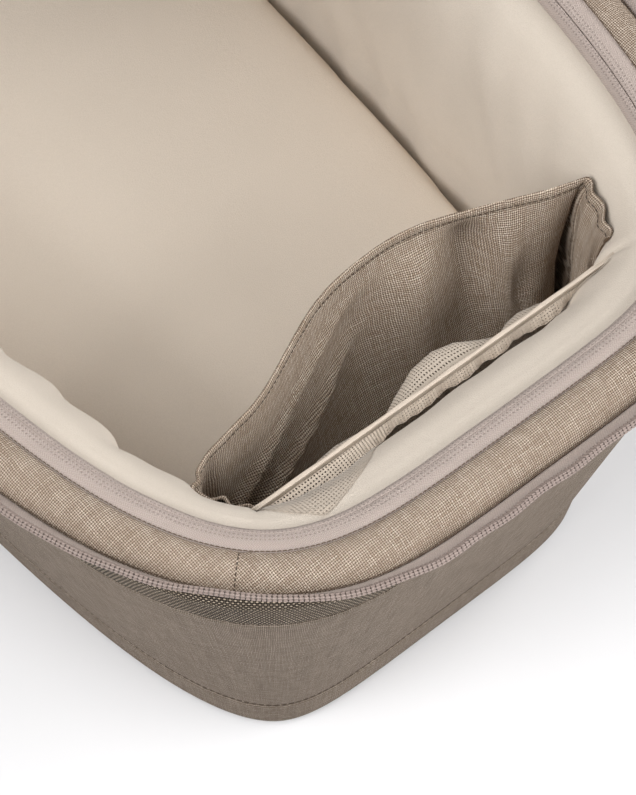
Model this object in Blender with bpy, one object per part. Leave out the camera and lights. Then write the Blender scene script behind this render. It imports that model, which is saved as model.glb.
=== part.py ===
"""A carrycot: a stiff base tray and a tube rim joined by stays, dressed in padded
cloth, with a net and a linen pocket at the foot, a folding hood and a carry handle.

The foot points along +X and +Z is up. Rings that run round the cot are drawn as
sections, in distance out from the seam on the rim and height above the floor.
"""

import math

import bmesh
import bpy
from mathutils import Matrix, Vector
from mathutils.geometry import intersect_line_line_2d

# Driving dimensions of the whole cot, in metres
rim_half_length = 0.410
rim_half_width = 0.182
rim_squareness = 4.6
foot_taper_share = 0.106
taper_ease = 0.060
rim_height = 0.235
gap = 0.0003
cut_over = 0.004

# Fineness of the round pieces, as counts
half_ring_steps = 30
arch_steps = 20
panel_steps = 7
disc_steps = 24
small_steps = 12
curve_fineness = 24
halvings = 60
smooth_angle = math.radians(35)
turn_nudge = math.pi / 4096
sides = (("left", 1), ("right", -1))
both_ends = (("foot", 1), ("head", -1))


def eased(x):
    """Grows from nothing behind the widest place to x well in front of it."""
    return (math.hypot(x, taper_ease) + x) / 2


def rounded_box_radius(turn, half_length, half_width, squareness):
    along = abs(math.cos(turn)) / half_length
    across = abs(math.sin(turn)) / half_width
    return (along**squareness + across**squareness) ** (-1 / squareness)


def plan_curve(turn):
    """The seam on the rim, seen from above, before the cot is centred."""
    radius = rounded_box_radius(turn, rim_half_length, rim_half_width, rim_squareness)
    x = radius * math.cos(turn)
    narrowing = 1 - foot_taper_share * eased(x) / rim_half_length
    return Vector((x, radius * math.sin(turn) * narrowing))


def even_turns(curve, first, last, steps):
    """Turns that split a curve finely where it is long and where it bends."""
    fine = steps * curve_fineness
    points = [curve(first + (last - first) * i / fine) for i in range(fine + 1)]
    runs = [b - a for a, b in zip(points, points[1:])]
    whole = sum(run.length for run in runs)
    bends = [0] + [a.angle(b, 0) for a, b in zip(runs, runs[1:])]
    bend_whole = max(sum(bends), 1 / fine)
    reached = [0]
    for run, bend in zip(runs, bends):
        reached.append(reached[-1] + run.length / whole + bend / bend_whole)
    turns = []
    place = 0
    for i in range(steps + 1):
        wanted = reached[-1] * i / steps
        while place < fine - 1 and reached[place + 1] < wanted:
            place += 1
        part = (wanted - reached[place]) / (reached[place + 1] - reached[place])
        turns.append(first + (last - first) * (place + min(part, 1)) / fine)
    return turns


class Station:
    """One place on the plan curve, with the way out from it."""

    def __init__(self, turn):
        self.at = plan_curve(turn)
        along = plan_curve(turn + turn_nudge) - plan_curve(turn - turn_nudge)
        self.out = Vector((along.y, -along.x)).normalized()
        self.corner = abs(2 * self.out.x * self.out.y)

    def point(self, outward, height):
        spot = self.at + self.out * outward
        return Vector((spot.x + plan_shift, spot.y, height))


# Layers of the wall, from the outside in
cloth_thickness = 0.0015
padding_thickness = 0.006
stay_thickness = 0.0016

# Where the outside of the wall stands, out from the seam on the rim
floor_inset = 0.0381
seam_height = 0.0285
seam_inset = 0.0339
wall_top_drop = 0.050
wall_top_flare = 0.0066
vent_top_flare = 0.0162
cover_reach = 0.0182
cover_drop = 0.013

wall_top = rim_height - wall_top_drop
vent_top = rim_height - cover_drop - gap * 2

# The open zip round the outside of the rim
tape_thickness = 0.0008
tape_leg_height = 0.0045
tape_bend_drop = 0.0084
tape_width = 0.0105
teeth_width = 0.0030
teeth_thickness = 0.0024
teeth_root_share = 0.8
tape_lift = math.radians(40)
tape_corner_lift = math.radians(34)
tape_corner_sharpness = 1.45

tape_leg_out = cover_reach + gap
tape_bend_out = tape_leg_out + tape_thickness / 2
teeth_middle = tape_width + gap + teeth_width / 2
foot_reach = (
    tape_bend_out
    + (teeth_middle + teeth_width / 2) * math.cos(tape_lift)
    + teeth_thickness / 2 * math.sin(tape_lift)
)
plan_shift = (cover_reach - foot_reach) / 2

half_turns = even_turns(plan_curve, 0, math.pi, half_ring_steps)
ring_turns = [-turn for turn in reversed(half_turns[1:])] + half_turns[:-1]
ring_stations = [Station(turn) for turn in ring_turns]
left_stations = [Station(turn) for turn in half_turns]


def width_along(points, x):
    """Where a line of points on the left side, from the foot back, passes x."""
    for a, b in zip(points, points[1:]):
        if b.x <= x <= a.x:
            return b.y + (a.y - b.y) * (x - b.x) / (a.x - b.x)
    return 0


def half_width_at(x):
    """Half the width between the rim seams at one place along the cot."""
    return width_along([station.point(0, 0) for station in left_stations], x)


def wall(height):
    """How far the outside of the wall stands out from the rim seam."""
    rises = (0, seam_height, wall_top, vent_top)
    reaches = (-floor_inset, -seam_inset, wall_top_flare, vent_top_flare)
    for i in range(len(rises) - 1):
        if height <= rises[i + 1] or i == len(rises) - 2:
            part = (height - rises[i]) / (rises[i + 1] - rises[i])
            return reaches[i] + (reaches[i + 1] - reaches[i]) * part
    return 0


def material(name, colour, roughness, metallic=0):
    made = bpy.data.materials.get(name) or bpy.data.materials.new(name)
    made.use_nodes = True
    shader = made.node_tree.nodes["Principled BSDF"]
    shader.inputs["Base Color"].default_value = (*colour, 1)
    shader.inputs["Roughness"].default_value = roughness
    shader.inputs["Metallic"].default_value = metallic
    return made


def linen():
    return material("linen", (0.46, 0.35, 0.24), 0.9)


def side_cloth():
    return material("side_cloth", (0.31, 0.26, 0.21), 0.9)


def vent_weave():
    return material("vent_weave", (0.13, 0.11, 0.08), 0.9)


def cream_jersey():
    return material("cream_jersey", (0.69, 0.61, 0.52), 0.95)


def mattress_jersey():
    return material("mattress_jersey", (0.54, 0.46, 0.36), 0.95)


def zip_tape():
    return material("zip_tape", (0.47, 0.39, 0.36), 0.8)


def zip_teeth():
    return material("zip_teeth", (0.50, 0.40, 0.37), 0.4)


def foam():
    return material("foam", (0.75, 0.74, 0.70), 1)


def plastic():
    return material("plastic", (0.05, 0.05, 0.05), 0.5)


def rubber():
    return material("rubber", (0.03, 0.03, 0.03), 0.8)


def aluminium():
    return material("aluminium", (0.70, 0.70, 0.72), 0.35, 1)


def leatherette():
    return material("leatherette", (0.20, 0.11, 0.06), 0.55)


def finish(name, shape, look, smooth=True):
    """Turns a bmesh into an object of its own, with its faces pointing out."""
    bmesh.ops.recalc_face_normals(shape, faces=shape.faces)
    mesh = bpy.data.meshes.new(name)
    shape.to_mesh(mesh)
    shape.free()
    if smooth:
        mesh.shade_smooth()
        mesh.set_sharp_from_angle(angle=smooth_angle)
    mesh.materials.append(look)
    made = bpy.data.objects.new(name, mesh)
    bpy.context.scene.collection.objects.link(made)
    return made


def pivoted(made, pivot):
    """Puts a moving piece's origin on the axis of its joint."""
    made.data.transform(Matrix.Translation(-Vector(pivot)))
    made.location = pivot
    return made


def skin(name, rows, look, closed_rows=False, smooth=True):
    """Faces between closed loops of points, capped or joined into a ring."""
    shape = bmesh.new()
    grid = [[shape.verts.new(point) for point in row] for row in rows]
    row_pairs = list(zip(grid, grid[1:]))
    if closed_rows:
        row_pairs.append((grid[-1], grid[0]))
    else:
        shape.faces.new(grid[0])
        shape.faces.new(reversed(grid[-1]))
    for low, high in row_pairs:
        for i in range(len(low)):
            j = (i + 1) % len(low)
            shape.faces.new((low[i], low[j], high[j], high[i]))
    return finish(name, shape, look, smooth)


def ring(name, section, look, stations=None):
    """A section swept round the cot, the whole way or past some stations."""
    whole = stations is None
    rows = []
    for station in ring_stations if whole else stations:
        pairs = section(station) if callable(section) else section
        rows.append([station.point(outward, height) for outward, height in pairs])
    return skin(name, rows, look, closed_rows=whole)


def leaf(name, outer, inner, look):
    """A thin sheet as a solid: two grids of points joined along their edges."""
    shape = bmesh.new()
    faces = []
    for grid in (outer, inner):
        faces.append([[shape.verts.new(point) for point in row] for row in grid])
    rows, columns = len(outer), len(outer[0])
    for side in faces:
        for i in range(rows - 1):
            for j in range(columns - 1):
                shape.faces.new(
                    (side[i][j], side[i][j + 1], side[i + 1][j + 1], side[i + 1][j])
                )
    border = [(0, j) for j in range(columns)]
    border += [(i, columns - 1) for i in range(1, rows)]
    border += [(rows - 1, j) for j in range(columns - 2, -1, -1)]
    border += [(i, 0) for i in range(rows - 2, 0, -1)]
    for a, b in zip(border, border[1:] + border[:1]):
        front, back = faces
        shape.faces.new(
            (front[a[0]][a[1]], front[b[0]][b[1]], back[b[0]][b[1]], back[a[0]][a[1]])
        )
    return finish(name, shape, look)


def prism(name, outline, start, end, look):
    """An outline drawn in x and z, given thickness along y."""
    rows = [[Vector((x, y, z)) for x, z in outline] for y in (start, end)]
    return skin(name, rows, look, smooth=False)


def turned_y(name, x, z, profile, look, steps=disc_steps):
    """A round piece on an axis along y: its profile gives y and radius."""
    rows = []
    for y, radius in profile:
        row = []
        for i in range(steps):
            turn = 2 * math.pi * i / steps
            spot = (x + radius * math.cos(turn), y, z + radius * math.sin(turn))
            row.append(Vector(spot))
        rows.append(row)
    return skin(name, rows, look)


def block(name, low, high, look):
    rows = []
    for z in (low[2], high[2]):
        rows.append(
            [
                Vector((low[0], low[1], z)),
                Vector((high[0], low[1], z)),
                Vector((high[0], high[1], z)),
                Vector((low[0], high[1], z)),
            ]
        )
    return skin(name, rows, look)


def wall_block(name, middle, half_length, low, high, outside, sign, look):
    """A block whose back lies against the sloping wall, on one side of the cot."""
    rows = []
    for place in (middle - half_length, middle + half_length):
        row = []
        for height in (high, low):
            y = half_width_at(place) + wall(height) + gap * 2
            row.append(Vector((place, sign * y, height)))
        for height in (low, high):
            row.append(Vector((place, sign * outside, height)))
        rows.append(row)
    return skin(name, rows, look, smooth=False)


def combine(target, tool, operation):
    """Joins a tool to a piece or cuts it out, and hides the tool."""
    tool.hide_render = True
    tool.display_type = "WIRE"
    change = target.modifiers.new(tool.name, "BOOLEAN")
    change.operation = operation
    change.solver = "EXACT"
    change.object = tool


# Base band and side cover: one cloth wall, stitched along a dark seam
band_lift = 0.0018


def layer(height, depth):
    return wall(height) - depth, height


def strip(name, bottom, top, look):
    ring(
        name,
        [
            layer(bottom, 0),
            layer(top, 0),
            layer(top, cloth_thickness),
            layer(bottom, cloth_thickness),
        ],
        look,
    )


def make_outer_walls():
    strip("base_band", band_lift, seam_height - gap / 2, side_cloth())
    strip("side_cover", seam_height + gap / 2, wall_top - gap / 2, side_cloth())
    strip("vent_band", wall_top + gap / 2, vent_top, vent_weave())


# Base tray: a moulded pan with ribs that carry the mattress board
foot_pad_height = 0.0027
foot_pad_radius = 0.014
foot_pad_edge = 0.0006
foot_pad_x_share = 0.58
foot_pad_y_share = 0.50
tray_floor_thickness = 0.003
tray_top = 0.042
rib_thickness = 0.004
rib_places_shares = (-0.62, -0.31, 0, 0.31, 0.62)
rib_margin = 0.004

padding_depth = cloth_thickness + gap
padding_inside = padding_depth + padding_thickness
stay_depth = padding_inside + gap
stay_inside = stay_depth + stay_thickness
liner_depth = stay_inside + gap
tray_underside = foot_pad_height + gap
tray_floor_top = tray_underside + tray_floor_thickness


def make_tray():
    heights = (tray_underside, seam_height, tray_top)
    outside = [layer(height, padding_depth) for height in heights]
    inside = [layer(height, padding_inside) for height in (tray_top, seam_height)]
    inside.append(layer(tray_floor_top, padding_inside))
    rows = []
    for pair in outside + inside:
        rows.append([station.point(*pair) for station in ring_stations])
    tray = skin("base_tray", rows, plastic())
    for i, share in enumerate(rib_places_shares):
        x = plan_shift + share * rim_half_length
        inset = wall(tray_floor_top) - stay_inside - rib_margin
        reach = half_width_at(x) + inset
        rib = block(
            f"rib_guide_{i}",
            (x - rib_thickness / 2, -reach, tray_underside + gap),
            (x + rib_thickness / 2, reach, tray_top),
            plastic(),
        )
        combine(tray, rib, "UNION")


def make_foot_pads():
    for end, along in both_ends:
        for side, across in sides:
            x = plan_shift + along * foot_pad_x_share * rim_half_length
            y = across * foot_pad_y_share * rim_half_width
            rows = []
            profile = (
                (0, foot_pad_radius - foot_pad_edge),
                (foot_pad_edge, foot_pad_radius),
                (foot_pad_height, foot_pad_radius),
            )
            for height, radius in profile:
                row = []
                for i in range(small_steps):
                    turn = 2 * math.pi * i / small_steps
                    spot = (x + radius * math.cos(turn), y + radius * math.sin(turn))
                    row.append(Vector((*spot, height)))
                rows.append(row)
            skin(f"foot_pad_{end}_{side}", rows, rubber())


# Rim frame: a bent tube, held over the tray by flat stays
tube_radius = 0.0062
tube_out = 0.0090
tube_drop = 0.0102
tube_sides = 8
stay_half_width = 0.016
side_stay_share = 0.40

tube_height = rim_height - tube_drop


def make_rim_frame():
    section = []
    for i in range(tube_sides):
        turn = 2 * math.pi * i / tube_sides
        section.append(
            (
                tube_out + tube_radius * math.cos(turn),
                tube_height + tube_radius * math.sin(turn),
            )
        )
    ring("rim_frame", section, aluminium())


def under_tube(outward):
    """The height just below the tube at a distance out from the rim seam."""
    across = min(abs(outward - tube_out), tube_radius)
    return tube_height - math.sqrt(tube_radius**2 - across**2) - gap


padding_bottom = tray_top + gap
padding_top = tube_height - tube_radius - gap


def make_padding():
    heights = (padding_bottom, wall_top, padding_top)
    section = [layer(height, padding_depth) for height in heights]
    section += [layer(height, padding_inside) for height in reversed(heights)]
    ring("side_padding", section, foam())


def turn_at(place):
    """The turn on the plan curve at one place along it, on the left side."""
    low, high = 0, math.pi
    for _ in range(halvings):
        middle = (low + high) / 2
        if plan_curve(middle).x > place:
            low = middle
        else:
            high = middle
    return low


def make_stay(name, turns):
    top = under_tube(layer(padding_top, stay_depth)[0])
    heights = (tray_floor_top + gap, seam_height, wall_top, top)
    section = [layer(height, stay_depth) for height in heights]
    section += [layer(height, stay_inside) for height in reversed(heights)]
    ring(name, section, plastic(), [Station(turn) for turn in turns])


def make_stays():
    for end, along in both_ends:
        middle = along * side_stay_share * rim_half_length
        turns = (
            turn_at(middle + stay_half_width),
            turn_at(middle),
            turn_at(middle - stay_half_width),
        )
        make_stay(f"side_stay_{end}_left", turns)
        make_stay(f"side_stay_{end}_right", [-turn for turn in reversed(turns)])
        spread = math.atan2(stay_half_width, rim_half_length)
        centre = 0 if along > 0 else math.pi
        make_stay(f"end_stay_{end}", (centre - spread, centre, centre + spread))


# Mattress board
board_thickness = 0.004

board_bottom = tray_top + gap
board_top = board_bottom + board_thickness
mattress_bottom = board_top + gap


def make_board():
    outward = wall(board_bottom) - stay_inside - gap
    rows = []
    for height in (board_bottom, board_top):
        rows.append([station.point(outward, height) for station in ring_stations])
    skin("mattress_board", rows, plastic())


# Liner: a padded wall inside the stays, fuller at the foot
liner_inset = 0.041
liner_swell = 0.012
liner_corner_relief_share = 0.5
liner_fullness_power = 4
liner_rise_shares = (0, 0.255, 0.356, 0.524, 0.703, 0.827, 0.911, 0.967, 0.995)
liner_inset_shares = (1.105, 0.937, 0.937, 0.976, 1, 0.963, 0.854, 0.683, 0.488)
liner_swell_shares = (0, 0, 0.42, 0.83, 1, 0.80, 0.50, 0.25, 0.04)
liner_lip_inset = 0.0133
liner_lip_drop = 0.0097
liner_shoulder_inset = 0.0070
liner_shoulder_drop = 0.0085
liner_neck_inset = 0.0045
liner_neck_drop = 0.016

liner_bottom = mattress_bottom
liner_lip = rim_height - liner_lip_drop


def liner_inside(station, row):
    """One point of the liner's inner face at a station."""
    height = liner_bottom + (liner_lip - liner_bottom) * liner_rise_shares[row]
    fullness = max(station.out.x, 0) ** liner_fullness_power
    fullness -= liner_corner_relief_share * station.corner**2
    inset = liner_inset * liner_inset_shares[row]
    return -inset - liner_swell * liner_swell_shares[row] * fullness, height


def liner_face(station, height):
    """How far the liner's inner face stands out from the rim seam at a height."""
    rows = range(len(liner_rise_shares) - 1)
    for row in rows:
        low, high = liner_inside(station, row), liner_inside(station, row + 1)
        if height <= high[1] or row == rows[-1]:
            part = (height - low[1]) / (high[1] - low[1])
            return low[0] + (high[0] - low[0]) * part
    return 0


def make_liner():
    def section(station):
        outside = [
            layer(liner_bottom, liner_depth),
            layer(wall_top, liner_depth),
            (-liner_neck_inset, rim_height - liner_neck_drop),
            (-liner_shoulder_inset, rim_height - liner_shoulder_drop),
            (-liner_lip_inset, liner_lip),
        ]
        rows = reversed(range(len(liner_rise_shares)))
        return outside + [liner_inside(station, row) for row in rows]

    ring("liner", section, cream_jersey())


# Mattress: foam in a jersey cover, crowned, and drawn in along its sides
mattress_lift = 0.0445
mattress_crown = 0.0020
mattress_edge_round = 0.012
mattress_waist = 0.003
mattress_side_shares = (
    (0, 0.14),
    (0.12, 0.03),
    (0.34, 0),
    (0.56, 0.02),
    (0.74, 0.12),
    (0.88, 0.42),
    (0.97, 1),
)
mattress_top_shares = ((0.93, 0.25), (0.8, 0.6), (0.5, 1))

mattress_top = mattress_bottom + mattress_lift


def make_mattress():
    rows = []
    for height_share, draw_share in mattress_side_shares:
        height = mattress_bottom + mattress_lift * height_share
        row = []
        for station in ring_stations:
            outward = liner_face(station, height) - gap
            outward -= mattress_edge_round * draw_share
            outward -= mattress_waist * (1 - station.corner)
            row.append(station.point(outward, height))
        rows.append(row)
    edge = rows[-1]
    for share, crown_share in mattress_top_shares:
        height = mattress_top + mattress_crown * crown_share
        row = []
        for point in edge:
            x = plan_shift + (point.x - plan_shift) * share
            row.append(Vector((x, point.y * share, height)))
        rows.append(row)
    skin("mattress", rows, mattress_jersey())


# Rim cover: linen drawn over the tube, from the inner zip to the open zip
cover_thickness = 0.0012
cover_crown_shares = (
    (0.011, 0),
    (0.275, 0.108),
    (0.55, 0.031),
    (0.797, -0.246),
    (0.984, -0.677),
)


def make_rim_cover():
    outside = []
    inside = []
    for out_share, rise_share in cover_crown_shares:
        outward = cover_reach * out_share
        height = rim_height + cover_drop * rise_share
        outside.append((outward, height))
        away = Vector((outward - tube_out, height - tube_height))
        away.length -= cover_thickness
        inside.append((tube_out + away.x, tube_height + away.y))
    bottom = rim_height - cover_drop
    outside.append((cover_reach, bottom))
    inside.append((cover_reach - cover_thickness, bottom))
    ring("rim_cover", outside + inside[::-1], linen())


# Closed zip round the inner slope of the rim
zip_middle_out = -0.0093
zip_middle_drop = 0.0017
zip_slit = 0.0004
coil_half_width = 0.0022
coil_height = 0.0016
coil_top_share = 0.1
coil_root_share = 0.25
zip_edge_out = -0.0136
zip_edge_drop = 0.0086
slider_length = 0.011
slider_half_width = 0.0042
slider_height = 0.0026
slider_place_share = -0.70
puller_length = 0.024
puller_half_width = 0.0035
puller_thickness = 0.0012


def make_inner_zip():
    seam = (-gap, rim_height - gap)
    middle_height = rim_height - zip_middle_drop
    outer_edge = (zip_middle_out + zip_slit / 2, middle_height)
    inner_edge = (zip_middle_out - zip_slit / 2, middle_height - gap)
    lap = (zip_edge_out, rim_height - zip_edge_drop)
    ring(
        "inner_zip_outer_tape",
        [
            seam,
            outer_edge,
            (outer_edge[0], outer_edge[1] - tape_thickness),
            (seam[0], seam[1] - tape_thickness),
        ],
        zip_tape(),
    )
    ring(
        "inner_zip_inner_tape",
        [
            inner_edge,
            lap,
            (lap[0] + tape_thickness, lap[1] - tape_thickness / 2),
            (inner_edge[0], inner_edge[1] - tape_thickness * 2),
        ],
        zip_tape(),
    )
    top = middle_height - tape_thickness * 2 - gap * 2
    ring(
        "inner_zip_coil",
        [
            (zip_middle_out + coil_half_width, top),
            (zip_middle_out + coil_half_width * coil_top_share, top),
            (zip_middle_out - coil_half_width * coil_root_share, top - coil_height),
            (zip_middle_out + coil_half_width, top - coil_height),
        ],
        zip_teeth(),
    )


def make_slider():
    """The slider of the closed zip, parked by the head, and its puller."""
    x = plan_shift + slider_place_share * rim_half_length
    y = half_width_at(x) + zip_middle_out
    slope = zip_middle_drop / -zip_middle_out
    bottom = rim_height - zip_middle_drop + slope * slider_half_width + gap
    block(
        "inner_zip_slider",
        (x - slider_length / 2, y - slider_half_width, bottom),
        (x + slider_length / 2, y + slider_half_width, bottom + slider_height),
        aluminium(),
    )
    low = bottom + slider_height + gap
    block(
        "inner_zip_puller",
        (x - slider_length / 4, y - puller_half_width, low),
        (x - slider_length / 4 + puller_length, y + puller_half_width, low + puller_thickness),
        aluminium(),
    )


# Open zip: one tape and its teeth, from one hub round the foot to the other
open_zip_start = 0.052
stop_length = 0.006
end_step_share = 0.995


def flare(station):
    """The way the open tape leaves the seam, which stands up at a corner."""
    lift = tape_lift + tape_corner_lift * station.corner**tape_corner_sharpness
    return Vector((math.cos(lift), math.sin(lift)))


def on_tape(station, along, above):
    way = flare(station)
    bend = Vector((tape_bend_out, rim_height - tape_bend_drop))
    spot = bend + way * along + Vector((-way.y, way.x)) * above
    return spot.x, spot.y


def make_open_zip():
    first = turn_at(open_zip_start - hub_set_back)
    inner_turns = [turn for turn in ring_turns if abs(turn) < first * end_step_share]
    turns = [-first] + inner_turns + [first]
    stations = [Station(turn) for turn in turns]
    leg_bottom = rim_height - tape_bend_drop - tape_leg_height

    def tape_section(station):
        half = tape_thickness / 2
        return [
            (tape_leg_out, leg_bottom),
            (tape_leg_out + tape_thickness, leg_bottom),
            (tape_leg_out + tape_thickness, rim_height - tape_bend_drop - half / 2),
            on_tape(station, tape_width, -half),
            on_tape(station, tape_width, half),
            (tape_leg_out, rim_height - tape_bend_drop + half / 2),
        ]

    def teeth_section(station):
        half = teeth_thickness / 2
        start = tape_width + gap
        end = start + teeth_width
        return [
            on_tape(station, start, -half * teeth_root_share),
            on_tape(station, end, -half),
            on_tape(station, end, half),
            on_tape(station, start, half * teeth_root_share),
        ]

    ring("open_zip_tape", tape_section, zip_tape(), stations)
    ring("open_zip_teeth", teeth_section, zip_teeth(), stations)
    start = open_zip_start - hub_set_back - gap
    for side, sign in sides:
        pair = sorted((sign * turn_at(start), sign * turn_at(start - stop_length)))
        ends = [Station(turn) for turn in pair]
        ring(f"open_zip_stop_{side}", teeth_section, zip_teeth(), ends)


# Hubs on either side, which carry the hood and the carry handle
hub_set_back = 0.080
hub_rise = 0.018
bracket_thickness = 0.005
bracket_radius = 0.020
bracket_foot_radius = 0.015
bracket_drop = 0.046
pin_radius = 0.0040
bore_radius = 0.0043
pin_head_radius = 0.0075
pin_head_thickness = 0.0015
screw_head_radius = 0.0040
screw_radius = 0.0020
screw_head_thickness = 0.0012
screw_spread = 0.0068
boss_half_length = 0.0125
boss_half_height = 0.012

hinge_x = plan_shift - hub_set_back
hinge_z = rim_height + hub_rise
hub_axis = (hinge_x, 0, hinge_z)
bracket_inside = rim_half_width + cover_reach + gap
bracket_outside = bracket_inside + bracket_thickness

# Hood: cloth panels and flat bows, each inside the one behind it
canopy_side = 0.008
canopy_back = 0.006
canopy_thickness = 0.0012
bow_thickness = 0.0030
bow_half_width = 0.0050
canopy_step = 0.0008
canopy_start = 0.014
bow_hub_radius = 0.0115
disc_lip = 0.0002
hood_rear_rise = math.radians(50)
hood_middle_rise = math.radians(95)
hood_front_rise = math.radians(140)
skirt_clearance = 0.0018

canopy_half_width = rim_half_width + canopy_side
canopy_half_length = rim_half_length + canopy_back
middle_depth = canopy_thickness + canopy_step
middle_bow_depth = middle_depth + canopy_thickness + canopy_step
front_depth = middle_bow_depth + bow_thickness + canopy_step
front_bow_depth = front_depth + canopy_thickness + canopy_step
innermost_depth = front_bow_depth + bow_thickness


def arch(half_length, half_width, squareness, set_back, start, depth):
    """Half a rounded box over the hinge line: distances from it and places along y."""

    def curve(turn):
        radius = rounded_box_radius(turn, half_length, half_width, squareness)
        return Vector((radius * math.cos(turn) - set_back, radius * math.sin(turn)))

    low, high = 0, math.pi / 2 + set_back / half_width
    for _ in range(halvings):
        middle = (low + high) / 2
        if curve(middle).x > start:
            low = middle
        else:
            high = middle
    turns = even_turns(curve, 0, low, arch_steps // 2)
    half = []
    for turn in turns:
        along = curve(turn + turn_nudge) - curve(turn - turn_nudge)
        inward = Vector((-along.y, along.x)).normalized()
        spot = curve(turn) + inward * depth
        half.append(spot)
    half[0].y = 0
    half[-1].x = start
    return [Vector((p.x, -p.y)) for p in reversed(half[1:])] + half


def canopy_arch(depth, start=canopy_start):
    size = (canopy_half_length, canopy_half_width, rim_squareness)
    return arch(*size, hub_set_back, start, depth)


def swung(spot, rise):
    """A point of an arch turned up from the head end about the hinge line."""
    x = hinge_x - spot.x * math.cos(rise)
    return Vector((x, spot.y, hinge_z + spot.x * math.sin(rise)))


def canopy_panel(name, depth, low_rise, high_rise, skirt):
    outer_arch = canopy_arch(depth)
    inner_arch = canopy_arch(depth + canopy_thickness)
    grids = []
    for profile in (outer_arch, inner_arch):
        grid = []
        if skirt:
            bottom = rim_height + skirt_clearance
            grid.append([Vector((hinge_x - p.x, p.y, bottom)) for p in profile])
        for i in range(panel_steps + 1):
            rise = low_rise + (high_rise - low_rise) * i / panel_steps
            grid.append([swung(p, rise) for p in profile])
        grids.append(grid)
    return leaf(name, grids[0], grids[1], linen())


def bow(name, outer_arch, inner_arch, rise, half_width, look):
    """A flat hoop along two arches, as wide as twice half_width at every place."""
    across = Vector((math.sin(rise), 0, math.cos(rise))) * half_width
    rows = []
    for far, near in zip(outer_arch, inner_arch):
        top, under = swung(far, rise), swung(near, rise)
        rows.append([top - across, top + across, under + across, under - across])
    return skin(name, rows, look)


def drum(name, x, z, near, far, radius, sign):
    """A plain round tool or piece on one side of the cot, between two faces."""
    faces = sorted((sign * near, sign * far))
    return turned_y(name, x, z, [(face, radius) for face in faces], plastic())


def hood_bow(name, depth, rise):
    outer_arch = canopy_arch(depth, 0)
    inner_arch = canopy_arch(depth + bow_thickness, 0)
    hoop = bow(name, outer_arch, inner_arch, rise, bow_half_width, plastic())
    pivoted(hoop, hub_axis)
    far = canopy_half_width - depth + disc_lip
    near = canopy_half_width - depth - bow_thickness - disc_lip
    for side, sign in sides:
        place = (hinge_x, hinge_z, near, far, bow_hub_radius, sign)
        combine(hoop, drum(f"{name}_disc_{side}", *place), "UNION")
    for side, sign in sides:
        place = (hinge_x, hinge_z, near - cut_over, far + cut_over, bore_radius, sign)
        combine(hoop, drum(f"{name}_bore_{side}", *place), "DIFFERENCE")


def make_hood():
    canopy_panel("hood_rear_panel", 0, 0, hood_rear_rise, True)
    rises = (hood_rear_rise, hood_middle_rise, hood_front_rise)
    middle = canopy_panel("hood_middle_panel", middle_depth, *rises[:2], False)
    front = canopy_panel("hood_front_panel", front_depth, *rises[1:], False)
    pivoted(middle, hub_axis)
    pivoted(front, hub_axis)
    edge = math.atan2(bow_half_width, rim_half_length)
    hood_bow("hood_middle_bow", middle_bow_depth, hood_rear_rise + edge)
    hood_bow("hood_front_bow", front_bow_depth, hood_front_rise - edge)


# Carry handle: a flat hoop outside the hubs, with a sewn grip and two buttons
handle_clearance = 0.033
handle_squareness = 4
handle_thickness = 0.006
handle_half_width = 0.008
handle_disc_radius = 0.022
handle_disc_thickness = 0.008
handle_rise = math.radians(90)
handle_bore_depth = 0.0030
button_radius = 0.0105
button_recess = 0.0040
button_travel = 0.0015
button_proud = 0.0020
grip_half_length = 0.065
grip_half_width = 0.0135
grip_half_thickness = 0.0070
grip_corner = 0.0035

handle_reach = canopy_half_length - hub_set_back + handle_clearance + handle_thickness
handle_inside = bracket_outside + disc_lip + gap * 2
handle_outside = handle_inside + handle_thickness
disc_inside = handle_inside - disc_lip
disc_outside = handle_inside + handle_disc_thickness
bore_floor = handle_inside + handle_bore_depth
recess_floor = disc_outside - button_recess


def handle_arch(depth):
    return arch(handle_reach, handle_outside, handle_squareness, 0, 0, depth)


def make_handle():
    hoop = bow(
        "carry_handle",
        handle_arch(0),
        handle_arch(handle_thickness),
        handle_rise,
        handle_half_width,
        plastic(),
    )
    pivoted(hoop, hub_axis)
    for side, sign in sides:
        place = (hinge_x, hinge_z, disc_inside, disc_outside, handle_disc_radius, sign)
        combine(hoop, drum(f"handle_disc_{side}", *place), "UNION")
    for side, sign in sides:
        cuts = (
            ("bore", disc_inside - cut_over, bore_floor, bore_radius),
            ("recess", recess_floor, disc_outside + cut_over, button_radius + gap),
        )
        for kind, near, far, radius in cuts:
            hole = drum(f"handle_{kind}_{side}", hinge_x, hinge_z, near, far, radius, sign)
            combine(hoop, hole, "DIFFERENCE")
        near = recess_floor + button_travel + gap
        far = disc_outside + button_proud
        faces = sorted((sign * near, sign * far))
        profile = [(face, button_radius) for face in faces]
        button = turned_y(f"handle_button_{side}", hinge_x, hinge_z, profile, rubber())
        pivoted(button, (hinge_x, sign * far, hinge_z))


def reach_along(points, y):
    """How far out a line of arch points is where it crosses y."""
    for a, b in zip(points, points[1:]):
        if a.y <= y <= b.y:
            return a.x + (b.x - a.x) * (y - a.y) / (b.y - a.y)
    return 0


def rounded_outline(half_width, half_height, cut):
    return (
        (-half_width + cut, half_height),
        (half_width - cut, half_height),
        (half_width, half_height - cut),
        (half_width, -half_height + cut),
        (half_width - cut, -half_height),
        (-half_width + cut, -half_height),
        (-half_width, -half_height + cut),
        (-half_width, half_height - cut),
    )


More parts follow.
